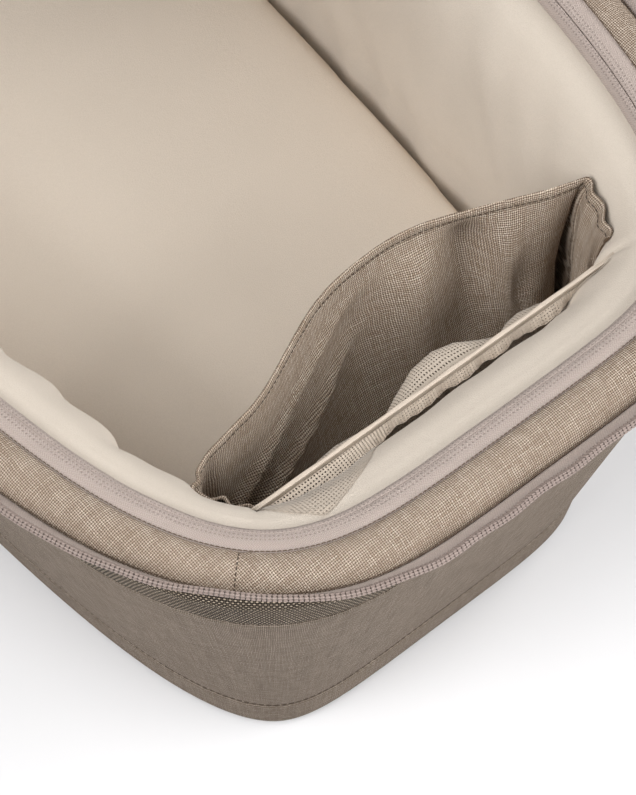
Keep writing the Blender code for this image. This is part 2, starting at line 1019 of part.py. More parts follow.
def make_grip():
    """A sewn sleeve round the middle of the handle, with a bore for the hoop."""
    outer, inner = handle_arch(0), handle_arch(handle_thickness)
    places = [point.y for point in outer if abs(point.y) < grip_half_length]
    places = [-grip_half_length] + places + [grip_half_length]
    across = Vector((math.sin(handle_rise), 0, math.cos(handle_rise)))
    outlines = (
        rounded_outline(grip_half_width, grip_half_thickness, grip_corner),
        rounded_outline(handle_half_width + gap, handle_thickness / 2 + gap, gap),
    )
    shape = bmesh.new()
    loops = []
    for y in places:
        middle = (reach_along(outer, y) + reach_along(inner, y)) / 2
        pair = []
        for outline in outlines:
            loop = []
            for along, up in outline:
                spot = swung(Vector((middle + up, y)), handle_rise) + across * along
                loop.append(shape.verts.new(spot))
            pair.append(loop)
        loops.append(pair)
    count = len(outlines[0])
    for i in range(count):
        j = (i + 1) % count
        for a, b in zip(loops, loops[1:]):
            for kind in (0, 1):
                shape.faces.new((a[kind][i], a[kind][j], b[kind][j], b[kind][i]))
        for outside, inside in (loops[0], loops[-1]):
            shape.faces.new((outside[i], outside[j], inside[j], inside[i]))
    pivoted(finish("handle_grip", shape, leatherette()), hub_axis)


def bracket_outline():
    """A plate that is round at the hub and round at its lower end."""
    outline = []
    steps = disc_steps // 2
    low_z = hinge_z - bracket_drop
    ends = ((0, hinge_z, bracket_radius), (math.pi, low_z, bracket_foot_radius))
    for first, z, radius in ends:
        for i in range(steps + 1):
            turn = first + math.pi * i / steps
            spot = (hinge_x + radius * math.cos(turn), z + radius * math.sin(turn))
            outline.append(spot)
    return outline


def make_hubs():
    low_z = hinge_z - bracket_drop
    near, far = bracket_inside - cut_over, bracket_outside + cut_over
    for side, sign in sides:
        faces = sorted((sign * bracket_inside, sign * bracket_outside))
        bracket = prism(f"hub_bracket_{side}", bracket_outline(), *faces, plastic())
        boss = wall_block(
            f"bracket_boss_{side}",
            hinge_x,
            boss_half_length,
            low_z - boss_half_height,
            low_z + boss_half_height,
            bracket_inside + bracket_thickness / 2,
            sign,
            plastic(),
        )
        combine(bracket, boss, "UNION")
        hole = drum(f"bracket_bore_{side}", hinge_x, hinge_z, near, far, bore_radius, sign)
        combine(bracket, hole, "DIFFERENCE")
        head = canopy_half_width - innermost_depth - disc_lip - gap
        profile = [
            (sign * (head - pin_head_thickness), pin_head_radius),
            (sign * head, pin_head_radius),
            (sign * head, pin_radius),
            (sign * (bore_floor - gap), pin_radius),
        ]
        turned_y(f"hub_pin_{side}", hinge_x, hinge_z, profile, aluminium())
        for place, step in (("front", 1), ("rear", -1)):
            x = hinge_x + step * screw_spread
            name = f"screw_hole_{place}_{side}"
            hole = drum(name, x, low_z, near, far, screw_radius + gap, sign)
            combine(bracket, hole, "DIFFERENCE")
            head = bracket_outside + gap
            profile = [
                (sign * (near + gap), screw_radius),
                (sign * head, screw_radius),
                (sign * head, screw_head_radius),
                (sign * (head + screw_head_thickness), screw_head_radius),
            ]
            name = f"hub_screw_{place}_{side}"
            turned_y(name, x, low_z, profile, aluminium(), small_steps)


# Chassis adaptors: a block on each side, with a tongue below and a release button
adaptor_place = 0.030
adaptor_half_length = 0.032
adaptor_drop = 0.007
adaptor_height = 0.054
adaptor_reach = 0.0270
tongue_half_length = 0.018
tongue_thickness = 0.012
tongue_length = 0.026
release_half_length = 0.014
release_half_height = 0.009
release_recess = 0.0050
release_travel = 0.0030
release_proud = 0.0015

adaptor_top = wall_top - adaptor_drop
adaptor_bottom = adaptor_top - adaptor_height


def side_block(name, middle, half_length, near, far, low, high, sign, look):
    """A square block on one side of the cot, between two faces."""
    faces = sorted((sign * near, sign * far))
    corners = (
        (middle - half_length, faces[0], low),
        (middle + half_length, faces[1], high),
    )
    return block(name, *corners, look)


def make_adaptors():
    x = plan_shift + adaptor_place
    outside = rim_half_width + adaptor_reach
    middle = (adaptor_top + adaptor_bottom) / 2
    for side, sign in sides:
        body = wall_block(
            f"adaptor_{side}",
            x,
            adaptor_half_length,
            adaptor_bottom,
            adaptor_top,
            outside,
            sign,
            plastic(),
        )
        tongue = side_block(
            f"tongue_guide_{side}",
            x,
            tongue_half_length,
            outside - tongue_thickness - gap,
            outside - gap,
            adaptor_bottom - tongue_length,
            middle - release_half_height - release_recess,
            sign,
            plastic(),
        )
        combine(body, tongue, "UNION")
        recess = side_block(
            f"release_recess_{side}",
            x,
            release_half_length + gap,
            outside - release_recess,
            outside + cut_over,
            middle - release_half_height - gap,
            middle + release_half_height + gap,
            sign,
            plastic(),
        )
        combine(body, recess, "DIFFERENCE")
        button = side_block(
            f"adaptor_button_{side}",
            x,
            release_half_length,
            outside - release_recess + release_travel + gap,
            outside + release_proud,
            middle - release_half_height,
            middle + release_half_height,
            sign,
            rubber(),
        )
        pivoted(button, (x, sign * (outside + release_proud), middle))


# Net pocket at the foot, hung from a flat elastic drawn straight across
elastic_inset = 0.0475
elastic_drop = 0.025
elastic_half_width = 0.0015
elastic_half_height = 0.0017
elastic_clearance = 0.0005
net_clearance = 0.0060
anchor_share = 0.6
net_thickness = 0.0010
net_depth = 0.085
net_bulge = 0.011
net_bulge_shares = (0, 0.55, 0.9, 1, 1, 0.8, 0.4)
net_waves = 5
net_end_power = 4
net_wave_depth = 0.0016
net_steps = 30


def liner_line(height):
    """The left half of the liner's inner face at a height."""
    return [station.point(liner_face(station, height), height) for station in left_stations]


def kept_inside(point, line, clearance):
    """Draws a point back towards the middle of the cot until it clears the liner."""
    anchor = Vector((plan_shift + anchor_share * rim_half_length, 0))
    way = Vector((point.x, abs(point.y))) - anchor
    end = anchor + way.normalized() * rim_half_length
    for a, b in zip(line, line[1:]):
        hit = intersect_line_line_2d(anchor, end, a.xy, b.xy)
        if hit:
            limit = (hit - anchor).length - clearance
            if way.length > limit:
                way.length = limit
            return Vector((anchor.x + way.x, math.copysign(way.y, point.y), point.z))
    return point


def make_elastic_and_net():
    x = plan_shift + rim_half_length - elastic_inset
    z = rim_height - elastic_drop
    line = liner_line(z - elastic_half_height)
    reach = width_along(line, x + elastic_half_width) - elastic_clearance
    block(
        "net_pocket_elastic",
        (x - elastic_half_width, -reach, z - elastic_half_height),
        (x + elastic_half_width, reach, z + elastic_half_height),
        cream_jersey(),
    )
    top = z - elastic_half_height - gap
    front, back = [], []
    for i, bulge_share in enumerate(net_bulge_shares):
        fall = i / (len(net_bulge_shares) - 1)
        height = top - net_depth * fall
        line = liner_line(height)
        front_row, back_row = [], []
        for j in range(net_steps + 1):
            share = 2 * j / net_steps - 1
            wave = math.sin(math.pi * net_waves * share)
            fullness = math.sin(math.pi * fall) * (1 - share**net_end_power)
            out = net_bulge * bulge_share + net_wave_depth * wave * fullness
            spot = Vector((x - out, reach * share, height))
            spot = kept_inside(spot, line, net_clearance)
            half = Vector((net_thickness / 2, 0, 0))
            front_row.append(spot - half)
            back_row.append(spot + half)
        front.append(front_row)
        back.append(back_row)
    leaf("net_pocket", front, back, cream_jersey())


# Linen pocket at the foot: it leans into the cot and folds back at either end
hem_thickness = 0.0016
hem_steps = 38
hem_drop_right = 0.030
hem_drop_left = 0.020
pocket_clearance = 0.0024
pocket_bottom_inset = 0.064
pocket_bottom_bulge = 0.008
pocket_lean_power = 1.3
pocket_fall_shares = (0, 0.12, 0.3, 0.5, 0.7, 0.86, 1)
hem_route_shares = (
    (0.872, -0.544, 0),
    (0.849, -0.599, 0),
    (0.817, -0.593, 0.2),
    (0.800, -0.533, 0.6),
    (0.793, -0.445, 0.9),
    (0.780, -0.324, 1),
    (0.729, -0.077, 1),
    (0.712, 0.110, 1),
    (0.722, 0.242, 1),
    (0.746, 0.396, 1),
    (0.773, 0.544, 0.8),
    (0.798, 0.632, 0.4),
    (0.824, 0.621, 0),
    (0.854, 0.590, 0),
    (0.872, 0.560, 0),
)


def spline(points, count):
    """Places along a smooth curve through the points."""
    ends = [points[0] * 2 - points[1]] + points + [points[-1] * 2 - points[-2]]
    made = []
    for i in range(count):
        whole = (len(points) - 1) * i / (count - 1)
        k = min(int(whole), len(points) - 2)
        t = whole - k
        a, b, c, d = ends[k : k + 4]
        slow = b * 2 + (c - a) * t
        fast = (a * 2 - b * 5 + c * 4 - d) * t**2 + (b * 3 - a - c * 3 + d) * t**3
        made.append((slow + fast) / 2)
    return made


def make_foot_pocket():
    controls = [Vector(share) for share in hem_route_shares]
    route = spline(controls, hem_steps + 1)
    bottom = mattress_top + mattress_crown + gap * 2
    rows = []
    for fall in pocket_fall_shares:
        row = []
        for along_share, across_share, lean_share in route:
            x = plan_shift + along_share * rim_half_length
            y = across_share * rim_half_width
            rise_share = (across_share + 1) / 2
            drop = hem_drop_right + (hem_drop_left - hem_drop_right) * rise_share
            hem = rim_height - drop
            foot_x = plan_shift + rim_half_length - pocket_bottom_inset
            foot_x -= pocket_bottom_bulge * (1 - across_share**2)
            lean = min(max(lean_share, 0), 1) * fall**pocket_lean_power
            row.append(Vector((x + (foot_x - x) * lean, y, hem + (bottom - hem) * fall)))
        height = row[len(row) // 2].z
        line = liner_line(height)
        rows.append([kept_inside(point, line, pocket_clearance) for point in row])
    outer, inner = [], []
    for row in rows:
        front, back = [], []
        for j, point in enumerate(row):
            along = row[min(j + 1, len(row) - 1)] - row[max(j - 1, 0)]
            out = Vector((along.y, -along.x, 0)).normalized() * hem_thickness / 2
            front.append(point + out)
            back.append(point - out)
        outer.append(front)
        inner.append(back)
    leaf("foot_pocket", outer, inner, linen())


def clear_scene():
    for thing in list(bpy.data.objects):
        bpy.data.objects.remove(thing)


def build():
    clear_scene()
    make_outer_walls()
    make_tray()
    make_foot_pads()
    make_rim_frame()
    make_padding()
    make_stays()
    make_board()
    make_liner()
    make_mattress()
    make_rim_cover()
    make_inner_zip()
    make_slider()
    make_open_zip()
    make_hood()
    make_handle()
    make_grip()
    make_hubs()
    make_adaptors()
    make_elastic_and_net()
    make_foot_pocket()


build()
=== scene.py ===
import math
from contextlib import contextmanager

import bmesh
import bpy
import numpy as np
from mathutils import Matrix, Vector
from mathutils.bvhtree import BVHTree


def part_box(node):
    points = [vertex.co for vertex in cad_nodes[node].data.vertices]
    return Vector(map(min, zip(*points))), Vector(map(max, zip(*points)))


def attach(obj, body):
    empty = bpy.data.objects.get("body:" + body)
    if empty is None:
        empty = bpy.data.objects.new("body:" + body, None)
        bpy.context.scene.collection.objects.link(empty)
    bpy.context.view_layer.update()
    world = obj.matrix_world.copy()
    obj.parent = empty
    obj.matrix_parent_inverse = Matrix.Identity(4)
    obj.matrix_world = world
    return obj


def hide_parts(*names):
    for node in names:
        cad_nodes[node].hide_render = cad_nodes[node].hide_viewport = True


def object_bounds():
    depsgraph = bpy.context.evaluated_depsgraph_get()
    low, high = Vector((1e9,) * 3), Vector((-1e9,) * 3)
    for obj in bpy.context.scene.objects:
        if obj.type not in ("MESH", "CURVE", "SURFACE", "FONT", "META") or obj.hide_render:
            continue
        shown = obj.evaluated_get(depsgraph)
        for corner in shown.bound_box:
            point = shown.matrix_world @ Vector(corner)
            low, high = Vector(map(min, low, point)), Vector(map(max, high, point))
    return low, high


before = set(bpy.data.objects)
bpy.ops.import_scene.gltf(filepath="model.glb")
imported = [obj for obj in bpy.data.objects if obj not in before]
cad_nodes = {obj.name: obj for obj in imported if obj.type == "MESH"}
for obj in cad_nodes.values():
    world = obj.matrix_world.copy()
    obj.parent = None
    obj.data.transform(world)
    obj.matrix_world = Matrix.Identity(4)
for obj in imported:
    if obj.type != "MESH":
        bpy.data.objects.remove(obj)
cad_low, cad_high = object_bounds()

# Base tray, mattress board, stays and foot pads
# The tray, board and stays are moulded polypropylene with a fine spark-eroded grain.
# The stays slot into the tray, the board lies on its ribs, and four rubber pads plug in below.
number, vector = "NodeSocketFloat", "NodeSocketVector"


def shade(red, green, blue):
    """A colour written as screen values from 0 to 255, as the shaders take it."""
    parts = []
    for value in (red, green, blue):
        value /= 255
        parts.append(value / 12.92 if value < 0.04045 else ((value + 0.055) / 1.055) ** 2.4)
    return (*parts, 1)


def place(tree, kind, sockets=None, **settings):
    """Adds a node; each socket takes a value or another node's output."""
    node = tree.nodes.new(kind)
    for name, value in settings.items():
        setattr(node, name, value)
    for key, value in (sockets or {}).items():
        if isinstance(value, bpy.types.NodeSocket):
            tree.links.new(value, node.inputs[key])
        else:
            node.inputs[key].default_value = value
    return node


def maths(tree, operation, *values):
    return place(tree, "ShaderNodeMath", dict(enumerate(values)), operation=operation).outputs[0]


def eased(tree, value, low, high, to_low=0.0, to_high=1.0):
    sockets = dict(enumerate((value, low, high, to_low, to_high)))
    kind = {"interpolation_type": "SMOOTHSTEP"}
    return place(tree, "ShaderNodeMapRange", sockets, **kind).outputs[0]


def tinted(tree, factor, first, second):
    sockets = {0: factor, 6: first, 7: second}
    return place(tree, "ShaderNodeMix", sockets, data_type="RGBA").outputs[2]


def noisy(tree, where, scale, detail=2.0, output=0):
    sockets = {"Vector": where, "Scale": scale, "Detail": detail}
    return place(tree, "ShaderNodeTexNoise", sockets).outputs[output]


def new_group(name, takes, gives):
    """An empty node group with its inputs and outputs in place."""
    tree = bpy.data.node_groups.new(name, "ShaderNodeTree")
    for label, kind, value in takes:
        socket = tree.interface.new_socket(label, in_out="INPUT", socket_type=kind)
        if value is not None:
            socket.default_value = value
    for label, kind in gives:
        tree.interface.new_socket(label, in_out="OUTPUT", socket_type=kind)
    given = tree.nodes.new("NodeGroupInput").outputs
    result = tree.nodes.new("NodeGroupOutput").inputs
    return tree, given, result


def grouped(tree, group, **sockets):
    node = tree.nodes.new("ShaderNodeGroup")
    node.node_tree = group
    for name, value in sockets.items():
        key = name.replace("_", " ").capitalize()
        if isinstance(value, bpy.types.NodeSocket):
            tree.links.new(value, node.inputs[key])
        else:
            node.inputs[key].default_value = value
    return node.outputs


def new_material(name, **sockets):
    """A material, its node tree and its shader, with the constant sockets set."""
    made = bpy.data.materials.new(name)
    made.use_nodes = True
    shader = made.node_tree.nodes["Principled BSDF"]
    for key, value in sockets.items():
        shader.inputs[key.replace("_", " ").title()].default_value = value
    return made, made.node_tree, shader


def lay(tree, shader, base, rough=None, height=None, distance=None):
    """Feeds a material's colour, roughness and bump from its nodes."""
    bump = None
    if height is not None:
        sockets = {"Height": height, "Distance": distance, "Strength": 1.0}
        bump = place(tree, "ShaderNodeBump", sockets).outputs[0]
    for value, key in ((base, "Base Color"), (rough, "Roughness"), (bump, "Normal")):
        if value is not None:
            tree.links.new(value, shader.inputs[key])


def own_place(tree):
    return place(tree, "ShaderNodeTexCoord").outputs["Object"]


def dress(names, look):
    """Gives CAD pieces a finish in their own material slots."""
    for name in names:
        for held in cad_nodes[name].material_slots:
            held.material = look


grain, given, result = new_group(
    "moulded grain",
    [("Place", vector, None), ("Fineness", number, 1500.0)],
    [("Height", number), ("Mottle", number)],
)
tree = grain
pits = noisy(tree, given["Place"], given["Fineness"], 3.0)
tree.links.new(eased(tree, pits, 0.35, 0.65), result["Height"])
tree.links.new(noisy(tree, given["Place"], 38.0, 4.0), result["Mottle"])

edge_wear, given, result = new_group(
    "edge wear",
    [("Place", vector, None), ("Width", number, 0.0008)],
    [("Worn", number)],
)
tree = edge_wear
rounded = place(tree, "ShaderNodeBevel", {"Radius": given["Width"]}, samples=4).outputs[0]
flat = place(tree, "ShaderNodeNewGeometry").outputs["Normal"]
turned = place(tree, "ShaderNodeVectorMath", {0: rounded, 1: flat}, operation="DOT_PRODUCT")
edge = eased(tree, turned.outputs["Value"], 0.995, 0.9)
rubbed = eased(tree, noisy(tree, given["Place"], 160.0, 4.0), 0.42, 0.62)
tree.links.new(maths(tree, "MULTIPLY", edge, rubbed), result["Worn"])


def moulded(name, dark, worn, roughness, fineness=1500.0, relief=0.00004):
    """Moulded plastic or rubber: pitted grain, faint mottling and paler rubbed edges."""
    made, tree, shader = new_material(name)
    spot = own_place(tree)
    surface = grouped(tree, grain, place=spot, fineness=fineness)
    wear = grouped(tree, edge_wear, place=spot)["Worn"]
    mottled = tinted(tree, surface["Mottle"], dark, [0.75 * v for v in dark[:3]] + [1])
    base = tinted(tree, maths(tree, "MULTIPLY", wear, 0.45), mottled, worn)
    rough = maths(tree, "MULTIPLY_ADD", surface["Mottle"], 0.14, roughness - 0.07)
    lay(tree, shader, base, rough, surface["Height"], relief)
    return made


tray_plastic = moulded("tray_plastic", shade(52, 50, 48), shade(96, 93, 89), 0.5)
board_plastic = moulded("board_plastic", shade(120, 116, 110), shade(150, 146, 140), 0.55, 900.0)
pad_rubber = moulded("pad_rubber", shade(30, 30, 30), shade(56, 55, 54), 0.8, 2600.0)
stays = [name for name in cad_nodes if "_stay_" in name]
foot_pads = [name for name in cad_nodes if name.startswith("foot_pad_")]
dress(["base_tray", *stays], tray_plastic)
dress(["mattress_board"], board_plastic)
dress(foot_pads, pad_rubber)

# Rim frame
# One bent aluminium tube, brushed along its length, which the stays hold over the tray.
brushed, tree, shader = new_material("brushed_aluminium", Metallic=1.0)
streaks = place(tree, "ShaderNodeMapping", {"Vector": own_place(tree), "Scale": (60, 60, 2600)})
fine_lines = noisy(tree, streaks.outputs[0], 1.0, 3.0)
base = tinted(tree, fine_lines, shade(168, 168, 170), shade(205, 205, 207))
rough = maths(tree, "MULTIPLY_ADD", fine_lines, 0.2, 0.26)
lay(tree, shader, base, rough, fine_lines, 0.00002)
dress(["rim_frame"], brushed)

# Side padding
# Pale open-cell foam cut in one strip and glued inside the outer cloth, all round the cot.
rim_half_length = 0.410
rim_half_width = 0.182
rim_squareness = 4.6
foot_taper_share = 0.106
taper_ease = 0.060
rim_height = 0.235
plan_shift = -0.00602138
hair = 0.0003
ring_count = 760


def unit(rows):
    """Directions of length one."""
    return rows / np.maximum(np.linalg.norm(rows, axis=-1), 1e-9)[..., None]


def run_along(line):
    """The distance run along a line of points, at each of them."""
    return np.concatenate([[0], np.cumsum(np.linalg.norm(np.diff(line, axis=0), axis=1))])


def read_off(where, run, values, **wrap):
    """Rows of values at places along the run that they belong to."""
    return np.stack([np.interp(where, run, column, **wrap) for column in values.T], -1)


def rounded_box(turns, half_long, half_wide, power):
    """Points of a rounded box about its middle, at turns round it."""
    along, across = np.cos(turns), np.sin(turns)
    reach = np.abs(along / half_long) ** power + np.abs(across / half_wide) ** power
    reach = reach ** (-1 / power)
    return np.stack([reach * along, reach * across], -1)


def plan_curve(turns):
    """The seam on the rim seen from above, at some turns round it."""
    x, y = rounded_box(turns, rim_half_length, rim_half_width, rim_squareness).T
    narrowing = 1 - foot_taper_share * (np.hypot(x, taper_ease) + x) / 2 / rim_half_length
    return np.stack([x + plan_shift, y * narrowing], -1)


def ring_table():
    """Even places round the rim seam, with the way out at each, from the head's middle round."""
    turns = np.linspace(-math.pi, math.pi, 16385)
    spots = plan_curve(turns)
    run = run_along(spots)
    arcs = np.linspace(0, run[-1], ring_count + 1)
    at = read_off(arcs, run, spots)
    tangent = np.gradient(at[:-1], axis=0)
    tangent[0] = tangent[-1] = at[1] - at[-2]
    tangent = unit(tangent)
    out = np.stack([tangent[:, 1], -tangent[:, 0]], -1)
    return arcs, at[:-1], out


ring_arcs, ring_at, ring_out = ring_table()
ring_length = ring_arcs[-1]
arc_column = ring_arcs[:-1, None]
ring_corner = np.abs(2 * ring_out[:, 0] * ring_out[:, 1])


def around(outward, height, picked=slice(None)):
    """Points at distances out from the rim seam and at heights, round the cot."""
    at, out = ring_at[picked], ring_out[picked]
    outward, height = np.broadcast_arrays(np.atleast_1d(outward), height)
    outward = np.broadcast_to(outward, (len(at), outward.shape[-1]))
    height = np.broadcast_to(height, outward.shape)
    flat = at[:, None, :] + out[:, None, :] * outward[..., None]
    return np.concatenate([flat, height[..., None]], -1)


def drift(along, across, length, seed):
    """Gentle unevenness, mostly from -1 to 1, that meets itself round the ring."""
    chance = np.random.default_rng(seed)
    total = 0
    for _ in range(7):
        waves = round(ring_length / length * chance.uniform(0.4, 1.7))
        lean = chance.uniform(-1, 1) * math.tau / length
        start = chance.uniform(0, math.tau)
        total = total + np.sin(math.tau * waves * along / ring_length + lean * across + start)
    return total / 3


@contextmanager
def reworked(mesh):
    """A mesh opened for work on its corners and faces, and closed again."""
    shape = bmesh.new()
    shape.from_mesh(mesh)
    yield shape
    shape.to_mesh(mesh)
    shape.free()


def new_mesh(name, points, faces):
    mesh = bpy.data.meshes.new(name)
    mesh.from_pydata(points.reshape(-1, 3).tolist(), [], faces)
    return mesh


def finish_mesh(mesh, look, sharp=40):
    """Points the faces outwards, smooths them and makes the object."""
    with reworked(mesh) as shape:
        bmesh.ops.recalc_face_normals(shape, faces=shape.faces)
    mesh.shade_smooth()
    mesh.set_sharp_from_angle(angle=math.radians(sharp))
    mesh.materials.append(look)
    made = bpy.data.objects.new(mesh.name, mesh)
    bpy.context.scene.collection.objects.link(made)
    return made


def grid(name, points, look, loop=False, tube=False, lengths=None, spans=None, sharp=50, cut=None):
    """Quads through rows of points; the UV map holds metres along and across the cloth.

    A cut gives each point's place on the flat cloth and each row's thread direction.
    """
    rows, columns = points.shape[:2]
    index = np.arange(rows * columns).reshape(rows, columns)
    row = np.arange(rows if loop else rows - 1)
    column = np.arange(columns if tube else columns - 1)
    low, high = index[row], index[(row + 1) % rows]
    corners = [low[:, column], high[:, column]]
    corners += [high[:, (column + 1) % columns], low[:, (column + 1) % columns]]
    faces = np.stack(corners, -1).reshape(-1, 4)
    if lengths is None:
        line = points[:, columns // 2]
        steps = np.linalg.norm(np.roll(line, -1, 0) - line, axis=1)
        lengths = np.concatenate([[0], np.cumsum(steps)])
    if spans is None:
        steps = np.linalg.norm(np.roll(points, -1, 1) - points, axis=2)
        spans = np.concatenate([np.zeros((rows, 1)), np.cumsum(steps, axis=1)], axis=1)
    spans = np.broadcast_to(spans, (rows, np.shape(spans)[-1]))
    spans = np.concatenate([spans, spans[:1] if loop else spans[-1:]])
    along = np.stack([lengths[row], lengths[row + 1], lengths[row + 1], lengths[row]], -1)
    along = np.repeat(along[:, None], len(column), axis=1)
    across = [spans[row][:, column], spans[row + 1][:, column]]
    across += [spans[row + 1][:, column + 1], spans[row][:, column + 1]]
    threads = np.stack([along, np.stack(across, -1)], -1)
    if cut is not None:
        flat, ways = cut
        flat = np.concatenate([flat, flat[:1]]) if loop else flat
        flat = np.concatenate([flat, flat[:, :1]], axis=1) if tube else flat
        near, far = flat[row][:, column], flat[row + 1][:, column]
        near_next, far_next = flat[row][:, column + 1], flat[row + 1][:, column + 1]
        spots = np.stack([near, far, far_next, near_next], 2)
        way = ways[row][:, None, None]
        aside = np.stack([-way[..., 1], way[..., 0]], -1)
        threads = np.stack([(spots * way).sum(-1), (spots * aside).sum(-1)], -1)
    threads = threads.reshape(-1, 2)
    ends = []
    if tube and not loop:
        ends = [index[0].tolist(), index[-1][::-1].tolist()]
        threads = np.concatenate([threads, np.zeros((2 * columns, 2))])
    mesh = new_mesh(name, points, faces.tolist() + ends)
    layer = mesh.uv_layers.new(name="threads")
    layer.data.foreach_set("uv", threads.astype(np.float32).ravel())
    return finish_mesh(mesh, look, sharp)


def fitted(piece, body, slot, *nodes):
    """Carries a piece on a body in place of plain CAD nodes, which it hides; the slot is not used.
    """
    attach(piece, body)
    if nodes:
        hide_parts(*nodes)


foam, tree, shader = new_material("foam", Roughness=1.0)
cells = place(tree, "ShaderNodeTexVoronoi", {"Vector": own_place(tree), "Scale": 700.0})
cell_depth = cells.outputs["Distance"]
# The pores are painted darker than the cell walls, as painted shade in the hollows.
pore_shade_mask = eased(tree, cell_depth, 0.1, 0.6)
base = tinted(tree, pore_shade_mask, shade(170, 166, 152), shade(226, 223, 212))
lay(tree, shader, base, None, cell_depth, 0.0005)

wall_rises = (0, 0.0285, 0.185, 0.2214)
wall_reaches = (-0.0381, -0.0339, 0.0066, 0.0162)
cloth_thickness = 0.0015
padding_depth = cloth_thickness + hair
padding_thickness = 0.006
padding_low, padding_high = 0.0423, 0.2185


def wall_reach(height):
    return np.interp(height, wall_rises, wall_reaches)


heights = np.linspace(padding_low, padding_high, 24)
outside = wall_reach(heights) - padding_depth
foam_points = around(
    np.concatenate([outside, outside[::-1] - padding_thickness]),
    np.concatenate([heights, heights[::-1]]),
)
foam_wall = grid("foam_wall", foam_points, foam, True, True, ring_arcs)
fitted(foam_wall, "cot", "foam", "side_padding")

# Outer cloth: base band, side cover and vent band
# A taupe plain-woven side cover is sewn to a base band with dark thread; both lean in
# towards the floor. A coarse two-tone weave lets air through under the rim.


def ripples(tree, run, pitch):
    """A sine wave along a run, from -1 to 1."""
    return maths(tree, "SINE", maths(tree, "MULTIPLY", run, math.tau / pitch))


def scaled(tree, spot, size):
    sockets = {0: spot, "Scale": size}
    return place(tree, "ShaderNodeVectorMath", sockets, operation="SCALE").outputs[0]


def split(tree, spot):
    return place(tree, "ShaderNodeSeparateXYZ", {0: spot}).outputs


woven, given, result = new_group(
    "plain weave",
    [("Threads", vector, None), ("Pitch", number, 0.001), ("Wander", number, 0.3)],
    [("Height", number), ("Tone", number), ("Patch", number), ("Warp", number)],
)
tree = woven
counted = scaled(tree, given["Threads"], maths(tree, "DIVIDE", 1.0, given["Pitch"]))
astray = {0: noisy(tree, counted, 0.13, 2.0, 1), 1: (0.5, 0.5, 0.5)}
astray = place(tree, "ShaderNodeVectorMath", astray, operation="SUBTRACT").outputs[0]
bent = scaled(tree, astray, maths(tree, "MULTIPLY", given["Wander"], 4.0))
moved = place(tree, "ShaderNodeVectorMath", {0: counted, 1: bent}, operation="ADD").outputs[0]
parts = split(tree, moved)
lifts, tones = [], []
for mine, other, offset in ((parts[0], parts[1], -0.5), (parts[1], parts[0], 0.5)):
    which = maths(tree, "FLOOR", mine)
    round_thread = ripples(tree, maths(tree, "FRACT", mine), 2.0)
    phase = maths(tree, "ADD", maths(tree, "ADD", other, offset), which)
    over = maths(tree, "COSINE", maths(tree, "MULTIPLY", phase, math.pi))
    over = maths(tree, "MULTIPLY_ADD", over, 0.32, 0.68)
    lifts.append(maths(tree, "MULTIPLY", round_thread, over))
    chance = place(tree, "ShaderNodeTexWhiteNoise", {"W": which}, noise_dimensions="1D")
    run = maths(tree, "MULTIPLY", other, 0.09)
    apart = maths(tree, "MULTIPLY", which, 5.3)
    along_it = place(tree, "ShaderNodeCombineXYZ", {0: run, 1: apart}).outputs[0]
    slub = eased(tree, noisy(tree, along_it, 1.0, 3.0), 0.3, 0.7)
    tones.append(maths(tree, "MULTIPLY_ADD", chance.outputs["Value"], 0.30, slub))
height = maths(tree, "MAXIMUM", *lifts)
first_on_top = maths(tree, "GREATER_THAN", *lifts)
tone = place(tree, "ShaderNodeMix", {0: first_on_top, 2: tones[1], 3: tones[0]})
tree.links.new(height, result["Height"])
tree.links.new(maths(tree, "MULTIPLY", tone.outputs[0], 0.77), result["Tone"])
tree.links.new(first_on_top, result["Warp"])
tree.links.new(noisy(tree, counted, 0.02, 3.0), result["Patch"])

cloth_gloss = 0.15


def thread_place(tree):
    return place(tree, "ShaderNodeUVMap", uv_map="threads").outputs[0]


def cloth_look(name, pitch, gap_shade, dark, light, relief, wander=0.3, gap_shade_range=(0.35, 0.85), weft=None):
    """Plain-woven cloth: threads of mixed tones over gaps painted dark as shade between the
    threads, with a dark weft if given.
    """
    made, tree, shader = new_material(name, Roughness=0.95)
    shader.inputs["Specular IOR Level"].default_value = cloth_gloss
    weave = grouped(tree, woven, threads=thread_place(tree), pitch=pitch, wander=wander)
    thread = tinted(tree, weave["Tone"], dark, light)
    if weft is not None:
        thread = tinted(tree, maths(tree, "MULTIPLY", weave["Warp"], 0.85), thread, weft)
    # The low places between the threads take the gap colour, a painted shade.
    gap_shade_mask = eased(tree, weave["Height"], *gap_shade_range)
    base = tinted(tree, gap_shade_mask, gap_shade, thread)
    patch = eased(tree, weave["Patch"], 0.3, 0.7, 0.0, 0.16)
    base = tinted(tree, patch, base, dark)
    lay(tree, shader, base, None, weave["Height"], relief)
    return made


# The first colour given to each cloth is the painted shade in the gaps between its threads.
side_cloth = cloth_look(
    "side_cloth", 0.00072, shade(52, 44, 36), shade(124, 110, 97), shade(170, 156, 142), 0.0003,
    0.3, (0.30, 0.85),
)
# Its near-black gap colour is painted shade; the dark weft is the cloth's own second tone.
vent_weave = cloth_look(
    "vent_weave", 0.00086, shade(22, 17, 13), shade(150, 134, 116), shade(206, 190, 170), 0.0005,
    0.2, (0.5, 0.9), shade(34, 27, 21),
)
cloth_inset = 0.0012
edge_roll = 0.0011


def rolled(share, width):
    """How far a cut edge is turned under: all of it at the edge, none a width away."""
    left = np.clip(1 - share / width, 0, 1)
    return left**2


